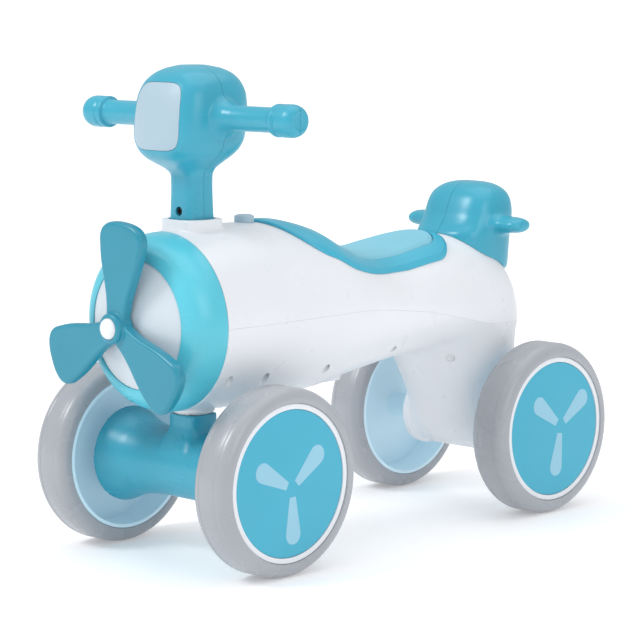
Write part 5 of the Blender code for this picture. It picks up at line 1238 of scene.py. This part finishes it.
def build_propeller():
    place = (0.0, HULL_FRONT - HUB_BACK, NOSE_AXIS)
    length = PROPELLER_HUB_LENGTH
    hub = soften([
        (0.0, 0.0), (0.0, PROPELLER_HUB_RADIUS + 0.0006), (-0.004, PROPELLER_HUB_RADIUS),
        (-length + 0.0018, PROPELLER_HUB_RADIUS), (-length, PROPELLER_HUB_RADIUS - 0.0016), (-length, 0.0),
    ], 0.0012)
    body = put("fine_propeller", turned(hub, PART_SIDES, "Y"), place)
    points, faces = fine_blade()
    for number in range(BLADE_COUNT):
        turn = PROPELLER_TURN + 2 * math.pi * number / BLADE_COUNT
        placed = []
        for x, y, z in points:
            tilted_x = x * math.cos(BLADE_PITCH) - y * math.sin(BLADE_PITCH)
            tilted_y = x * math.sin(BLADE_PITCH) + y * math.cos(BLADE_PITCH) - BLADE_PLACE
            placed.append((
                tilted_x * math.cos(turn) + z * math.sin(turn), tilted_y,
                z * math.cos(turn) - tilted_x * math.sin(turn),
            ))
        add(body, (placed, faces), place)
    blended(body, *PROPELLER_SKIN)
    bore = PROPELLER_SCREW_RADIUS + RUNNING_GAP
    pocket = PROPELLER_SCREW_RADIUS + PROPELLER_SCREW_RIM + RUNNING_GAP
    cap_seat = HUB_CAP_RADIUS + SEAT_GAP
    pocket_end, cap_end = HUB_POCKET_DEPTH - length, CAP_SEAT_DEPTH - length
    bores = [
        (0.01, 0.0), (0.01, bore), (pocket_end, bore), (pocket_end, pocket), (cap_end, pocket),
        (cap_end, cap_seat), (-length - 0.01, cap_seat), (-length - 0.01, 0.0),
    ]
    cut(body, turned(bores, PART_SIDES, "Y"), place)
    show(body, "propeller", "propeller_rotor", "teal_shell", "propeller")
    cap = [(cap_end - SEAT_GAP, 0.0), (cap_end - SEAT_GAP, HUB_CAP_RADIUS)]
    for i in range(19):
        angle = math.radians(5 * i)
        radius = HUB_CAP_RADIUS * math.cos(angle) if i < 18 else 0.0
        cap.append((-length - HUB_CAP_RISE * math.sin(angle), radius))
    show(put("fine_cap", turned(cap, PART_SIDES, "Y"), place), "white", "propeller_rotor", "white_shell",
         "propeller_cap")


# Seat

SADDLE_SWELL = 0.0026      # how much higher the saddle's middle stands than a plain shell
PAD_INSET = 0.0120         # pad's edge inside the saddle's
PAD_WALL = 0.0012          # saddle left under the pad beyond its recess


def fine_seat_outline(inset=0.0, setback=0.0):
    """(x, y) points of the saddle in plan, moved inwards."""
    seat_front = FRONT_AXLE + SEAT_SETBACK
    front = seat_front + setback
    rear = REAR_AXLE - TAIL_FOOT - SEAT_TAIL_SPACE
    rounds = [1 - cos_of(90 * i / 40) for i in range(1, 40)]
    places = [front + SEAT_FRONT_ROUND * share for share in rounds]
    places += spread(front + SEAT_FRONT_ROUND, rear - SEAT_REAR_ROUND, 40)
    places += [rear - SEAT_REAR_ROUND * share for share in rounds[::-1]]
    right = []
    for y in places:
        half = SEAT_HALF_WIDTH * smooth_value(SEAT_WIDTHS, (y - seat_front) / (rear - seat_front))
        into = min(1.0, (y - front) / SEAT_FRONT_ROUND, (rear - y) / SEAT_REAR_ROUND)
        right.append((half * math.sqrt(1 - (1 - into) ** 2), y))
    outline = [(0.0, front)] + right + [(0.0, rear)] + [(-x, y) for x, y in right[::-1]]
    inner = []
    for before, (x, y), after in zip(outline[-1:] + outline[:-1], outline, outline[1:] + outline[:1]):
        along = Vector((after[0] - before[0], after[1] - before[1])).normalized()
        inner.append((x - inset * along.y, y + inset * along.x))
    return inner


def rounded_sheet(outline, low, top, edge):
    """A closed sheet lying on the fuselage within an outline, with a rounded edge.

    low is its underside's height above the fuselage, and top(depth) its upper side's at a depth
    inside the outline. Rings run from its middle out over the top, down the edge and back below.
    """
    ends = [y for x, y in outline]
    spine = [min(max(y, min(ends) + 0.03), max(ends) - 0.03) for x, y in outline]

    def ring(depth, share, grow):
        made = []
        for (x, y), middle in zip(outline, spine):
            length = math.hypot(x, middle - y)
            near = min(0.4, depth / length)
            t = near + share * (0.985 - near)
            place = (x * (1 - t), y + (middle - y) * t)
            made.append((*place, hull_height(*place, grow(t * length))))
        return made

    band = 0.0075
    rings = [ring(band, i / 26, top) for i in range(26, 0, -1)]
    rings += [ring(edge + (band - edge) * i / 16, 0.0, top) for i in range(16, 0, -1)]
    for angle in range(90, 9, -10):
        depth = edge * (1 - sin_of(angle))
        share = 0.35 + 0.65 * math.sqrt(max(0.0, 1 - (1 - depth / edge) ** 2))
        rings.append(ring(depth, 0.0, lambda inside, share=share: low + (top(inside) - low) * share))
    rings.append(ring(0.0, 0.0, lambda inside: low + (top(inside) - low) * 0.35))
    rings.append(ring(0.0, 0.0, lambda inside: low))
    rings += [ring(band, share, lambda inside: low) for share in (0.0, 0.25, 0.5, 0.75, 1.0)]
    return loft(rings)


def dip(depth, place, half_width, drop):
    """A soft groove at a depth inside an outline."""
    return -drop * max(0.0, 1 - ((depth - place) / half_width) ** 2) ** 2


def saddle_rise(depth):
    """How far the moulded saddle swells above a plain shell at a depth inside its edge."""
    return SADDLE_SWELL * ramp(depth, -0.002, 0.017)


def build_seat():
    shell = put("fine_seat_shell", rounded_sheet(
        fine_seat_outline(), SEAT_GAP, lambda depth: SEAT_THICKNESS + saddle_rise(depth), 0.0020))
    pad_floor = SEAT_THICKNESS - PAD_DEPTH + PAD_WALL
    room = put("pad_room", prism(fine_seat_outline(PAD_INSET, PAD_SETBACK), NOSE_AXIS, NOSE_AXIS + 0.2))
    cut(room, fine_hull(pad_floor))
    carve(shell, "DIFFERENCE", room)
    show(shell, "saddle", "chassis", "teal_shell", "seat_shell")

    def crown(depth):
        fullness = 1 - (1 - min(1.0, depth / 0.020)) ** 2
        rise = saddle_rise(depth + PAD_INSET) + PAD_CROWN * fullness
        return SEAT_THICKNESS + rise + dip(depth, 0.0030, 0.0010, 0.0005)

    pad = put("fine_seat_pad", rounded_sheet(
        fine_seat_outline(PAD_INSET + SEAT_GAP, PAD_SETBACK), pad_floor + SEAT_GAP, crown, 0.0013))
    show(pad, "pad", "chassis", "seat_foam", "seat_pad")


# Tail

TAIL_SKIN = (0.0009, 8)    # voxel size and rounds of smoothing
FIN_ROUNDS = 160           # more rounds where the fins meet the hood


def fine_tail(grow=0.0, lower=0.0, sides=FORM_SIDES):
    """The tail hood from its hem up."""
    foot = hull_height(0.0, REAR_AXLE - TAIL_FOOT)
    rise = NOSE_AXIS + TAIL_RISE - foot
    hem = (NOSE_AXIS + TAIL_HEM_RISE - lower - foot) / rise
    sections = [(hem if row[0] is None else row[0], *row[1:]) for row in TAIL_SECTIONS]
    tables = [column(sections, i) for i in (1, 2, 3, 4)]
    rings = []
    for share in spread(hem, 1.0, 110):
        size, flare, front_inset, rear_inset = (smooth_value(table, share) for table in tables)
        ahead = TAIL_FRONT + (TAIL_FOOT - TAIL_FRONT) * flare - front_inset
        behind = TAIL_REAR - rear_inset
        half_x = TAIL_HALF_WIDTH * size + grow
        middle = REAR_AXLE + (behind - ahead) / 2
        height = foot + rise * share + (grow if share > 0.5 else 0.0)
        ring = rounded_ring(half_x, (ahead + behind) / 2 + grow, TAIL_POWER, sides)
        rings.append([(u, middle + v, height) for u, v in ring])
    return loft(rings)


def fine_fin(sign):
    """A stub fin on one side, from inside the hood out to its tip."""
    sections = [(TAIL_HALF_WIDTH - FIN_ROOT_DEPTH, *FIN_SECTIONS[0][1:])]
    for reach, chord, thick in FIN_SECTIONS:
        sections.append(((TAIL_HALF_WIDTH if reach >= 0 else FIN_HALF_SPAN) + reach, chord, thick))
    sections.append((FIN_HALF_SPAN, FIN_TIP_SHARE, FIN_TIP_SHARE))
    tables = [column(sections, i) for i in (1, 2)]
    rings = []
    for out in spread(sections[0][0], FIN_HALF_SPAN, 50):
        chord, thick = (smooth_value(table, out) for table in tables)
        ring = rounded_ring(FIN_HALF_CHORD * chord, FIN_HALF_THICKNESS * thick, 2.0, HOLLOW_SIDES)
        rings.append([(sign * out, REAR_AXLE + u, NOSE_AXIS + FIN_RISE + v) for u, v in ring])
    return loft(rings)


def build_tail():
    hood = put("hood", fine_tail())
    for sign in (1, -1):
        add(hood, fine_fin(sign))
    blended(hood, *TAIL_SKIN)
    melt(hood, lambda x, y, z: ramp(TAIL_HALF_WIDTH - abs(x), -0.002, 0.004), FIN_ROUNDS)
    cut(hood, fine_tail(-HEAD_WALL, 0.02, HOLLOW_SIDES))
    cut(hood, fine_hull(SEAT_GAP))
    cut(hood, prism(fine_seat_outline(-SEAT_GAP), NOSE_AXIS, NOSE_AXIS + 0.2))
    other = copy_of(hood, "fine_tail_right")
    hood.name = "fine_tail_left"
    for shell, side, sign in ((hood, "left", 1), (other, "right", -1)):
        near, far = sorted((sign * SEAT_GAP / 2, -sign * 0.2))
        cut(shell, box((near, 0.0, 0.0), (far, 0.5, 0.5)))
        show(shell, "teal", "chassis", "teal_shell", f"tail_{side}_shell")
    for side, (x, y) in zip(("left", "right"), tail_screw_places()):
        seat = hull_height(x, y) - WALL - TAIL_PAD_DEPTH - SEAT_GAP
        place_screw("tail_screw_" + side, (x, y, seat), "up", "chassis")


def build_button():
    y = button_place()
    ceiling = hull_height(UNIT_HALF_WIDTH * 0.3, y + UNIT_HALF_LENGTH, -WALL)
    board_top = ceiling - BOARD_DROP
    flange_top = hull_height(0.0, y + BUTTON_RADIUS + BUTTON_FLANGE, -WALL) - BUTTON_FLANGE_DROP
    stem_end = board_top + RETURN_DOME_HEIGHT
    crown = hull_height(BUTTON_RADIUS, y) + BUTTON_RISE
    flange_radius = BUTTON_RADIUS + BUTTON_FLANGE
    profile = soften([
        (crown, 0.0), (crown - 0.0002, BUTTON_RADIUS * 0.6), (crown - 0.0010, BUTTON_RADIUS * 0.93),
        (crown - 0.0022, BUTTON_RADIUS), (flange_top, BUTTON_RADIUS),
        (flange_top, flange_radius), (flange_top - 0.0012, flange_radius),
        (flange_top - 0.0012, BUTTON_STEM_RADIUS), (stem_end, BUTTON_STEM_RADIUS), (stem_end, 0.0),
    ], 0.0010)
    show(put("fine_button", turned(profile, PART_SIDES, "Z"), (0.0, y, 0.0)), "frosted", "button_plunger",
         "frosted_cover", "sound_button")


# Pieces that keep the CAD's mesh

HIDDEN_LOOKS = {
    "bush": "nylon", "nut": "zinc", "axle": "zinc", "steering_stem": "zinc", "propeller_screw": "zinc",
    "sound_housing": "black", "loudspeaker": "black", "circuit_board": "board", "button_dome": "silicone",
}


def dress_hidden_nodes():
    for name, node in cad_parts.items():
        if node.hide_render:
            continue
        found = [key for key in HIDDEN_LOOKS if key in name]
        material = LOOKS[HIDDEN_LOOKS[found[0]]] if found else LOOKS["zinc"]
        for material_slot in node.material_slots:
            material_slot.material = material


# Studio

CAMERA_PLACE = (1.4561, -1.50065, 0.4565)
CAMERA_AZIMUTH = 44.49
CAMERA_DOWN = 7.47
CAMERA_LENS = 142.23
CAMERA_SENSOR = 36.0
VIEW_REACH = 500.0
FLOOR_HALF = 150.0
# The floor's glow near and far, and the distances between which it grows
FLOOR_GLOW = (0.22, 0.55, 0.35, 3.0)
WORLD_STRENGTH = 0.66
LIGHTS_AIM = Vector((0.0, 0.0, 0.15))
# Name, place, size and watts of each light
STUDIO_LIGHTS = (
    ("key", (-1.0, -2.2, 2.4), (0.9, 0.9), 40.0),
    ("fill", (2.6, -0.6, 1.4), (1.2, 1.6), 12.0),
    ("top", (0.2, 0.3, 2.4), (2.4, 2.4), 19.0),
)


def build_studio():
    scene = bpy.context.scene
    floor = put("floor", box((-FLOOR_HALF, -FLOOR_HALF, -0.01), (FLOOR_HALF, FLOOR_HALF, 0.0)))
    material = look("studio_floor_finish", (246, 246, 247), 0.5, drift=0.004, grain=0.02, grain_size=0.002)
    tree = material.node_tree
    nodes, links = tree.nodes, tree.links
    reach = nodes.new("ShaderNodeVectorMath")
    reach.operation = "LENGTH"
    links.new(nodes["Texture Coordinate"].outputs["Object"], reach.inputs[0])
    glow = spread_to(tree, reach.outputs["Value"], *FLOOR_GLOW)
    links.new(glow, nodes["Principled BSDF"].inputs["Emission Strength"])
    floor.data.materials.append(material)
    world = bpy.data.worlds.new("studio")
    world.use_nodes = True
    background = world.node_tree.nodes["Background"]
    background.inputs["Color"].default_value = (0.97, 0.985, 1.0, 1.0)
    background.inputs["Strength"].default_value = WORLD_STRENGTH
    scene.world = world
    for name, place, size, power in STUDIO_LIGHTS:
        data = bpy.data.lights.new(name, "AREA")
        data.shape = "RECTANGLE"
        data.size, data.size_y = size
        data.energy = power
        lamp = bpy.data.objects.new(name, data)
        lamp.location = place
        aim = LIGHTS_AIM - Vector(place)
        lamp.rotation_euler = aim.to_track_quat("-Z", "Y").to_euler()
        scene.collection.objects.link(lamp)
    data = bpy.data.cameras.new("camera")
    data.lens = CAMERA_LENS
    data.sensor_width = CAMERA_SENSOR
    data.clip_end = VIEW_REACH
    camera = bpy.data.objects.new("camera", data)
    camera.location = CAMERA_PLACE
    turn, down = math.radians(CAMERA_AZIMUTH), math.radians(CAMERA_DOWN)
    back = Vector((math.sin(turn) * math.cos(down), -math.cos(turn) * math.cos(down), math.sin(down)))
    camera.rotation_euler = (-back).to_track_quat("-Z", "Y").to_euler()
    scene.collection.objects.link(camera)
    scene.camera = camera
    scene.view_settings.view_transform = "Standard"
    scene.view_settings.look = "None"


build_studio()
build_fuselage()
build_wheels()
build_yoke()
build_head()
build_nose()
build_propeller()
build_seat()
build_tail()
build_button()
dress_hidden_nodes()
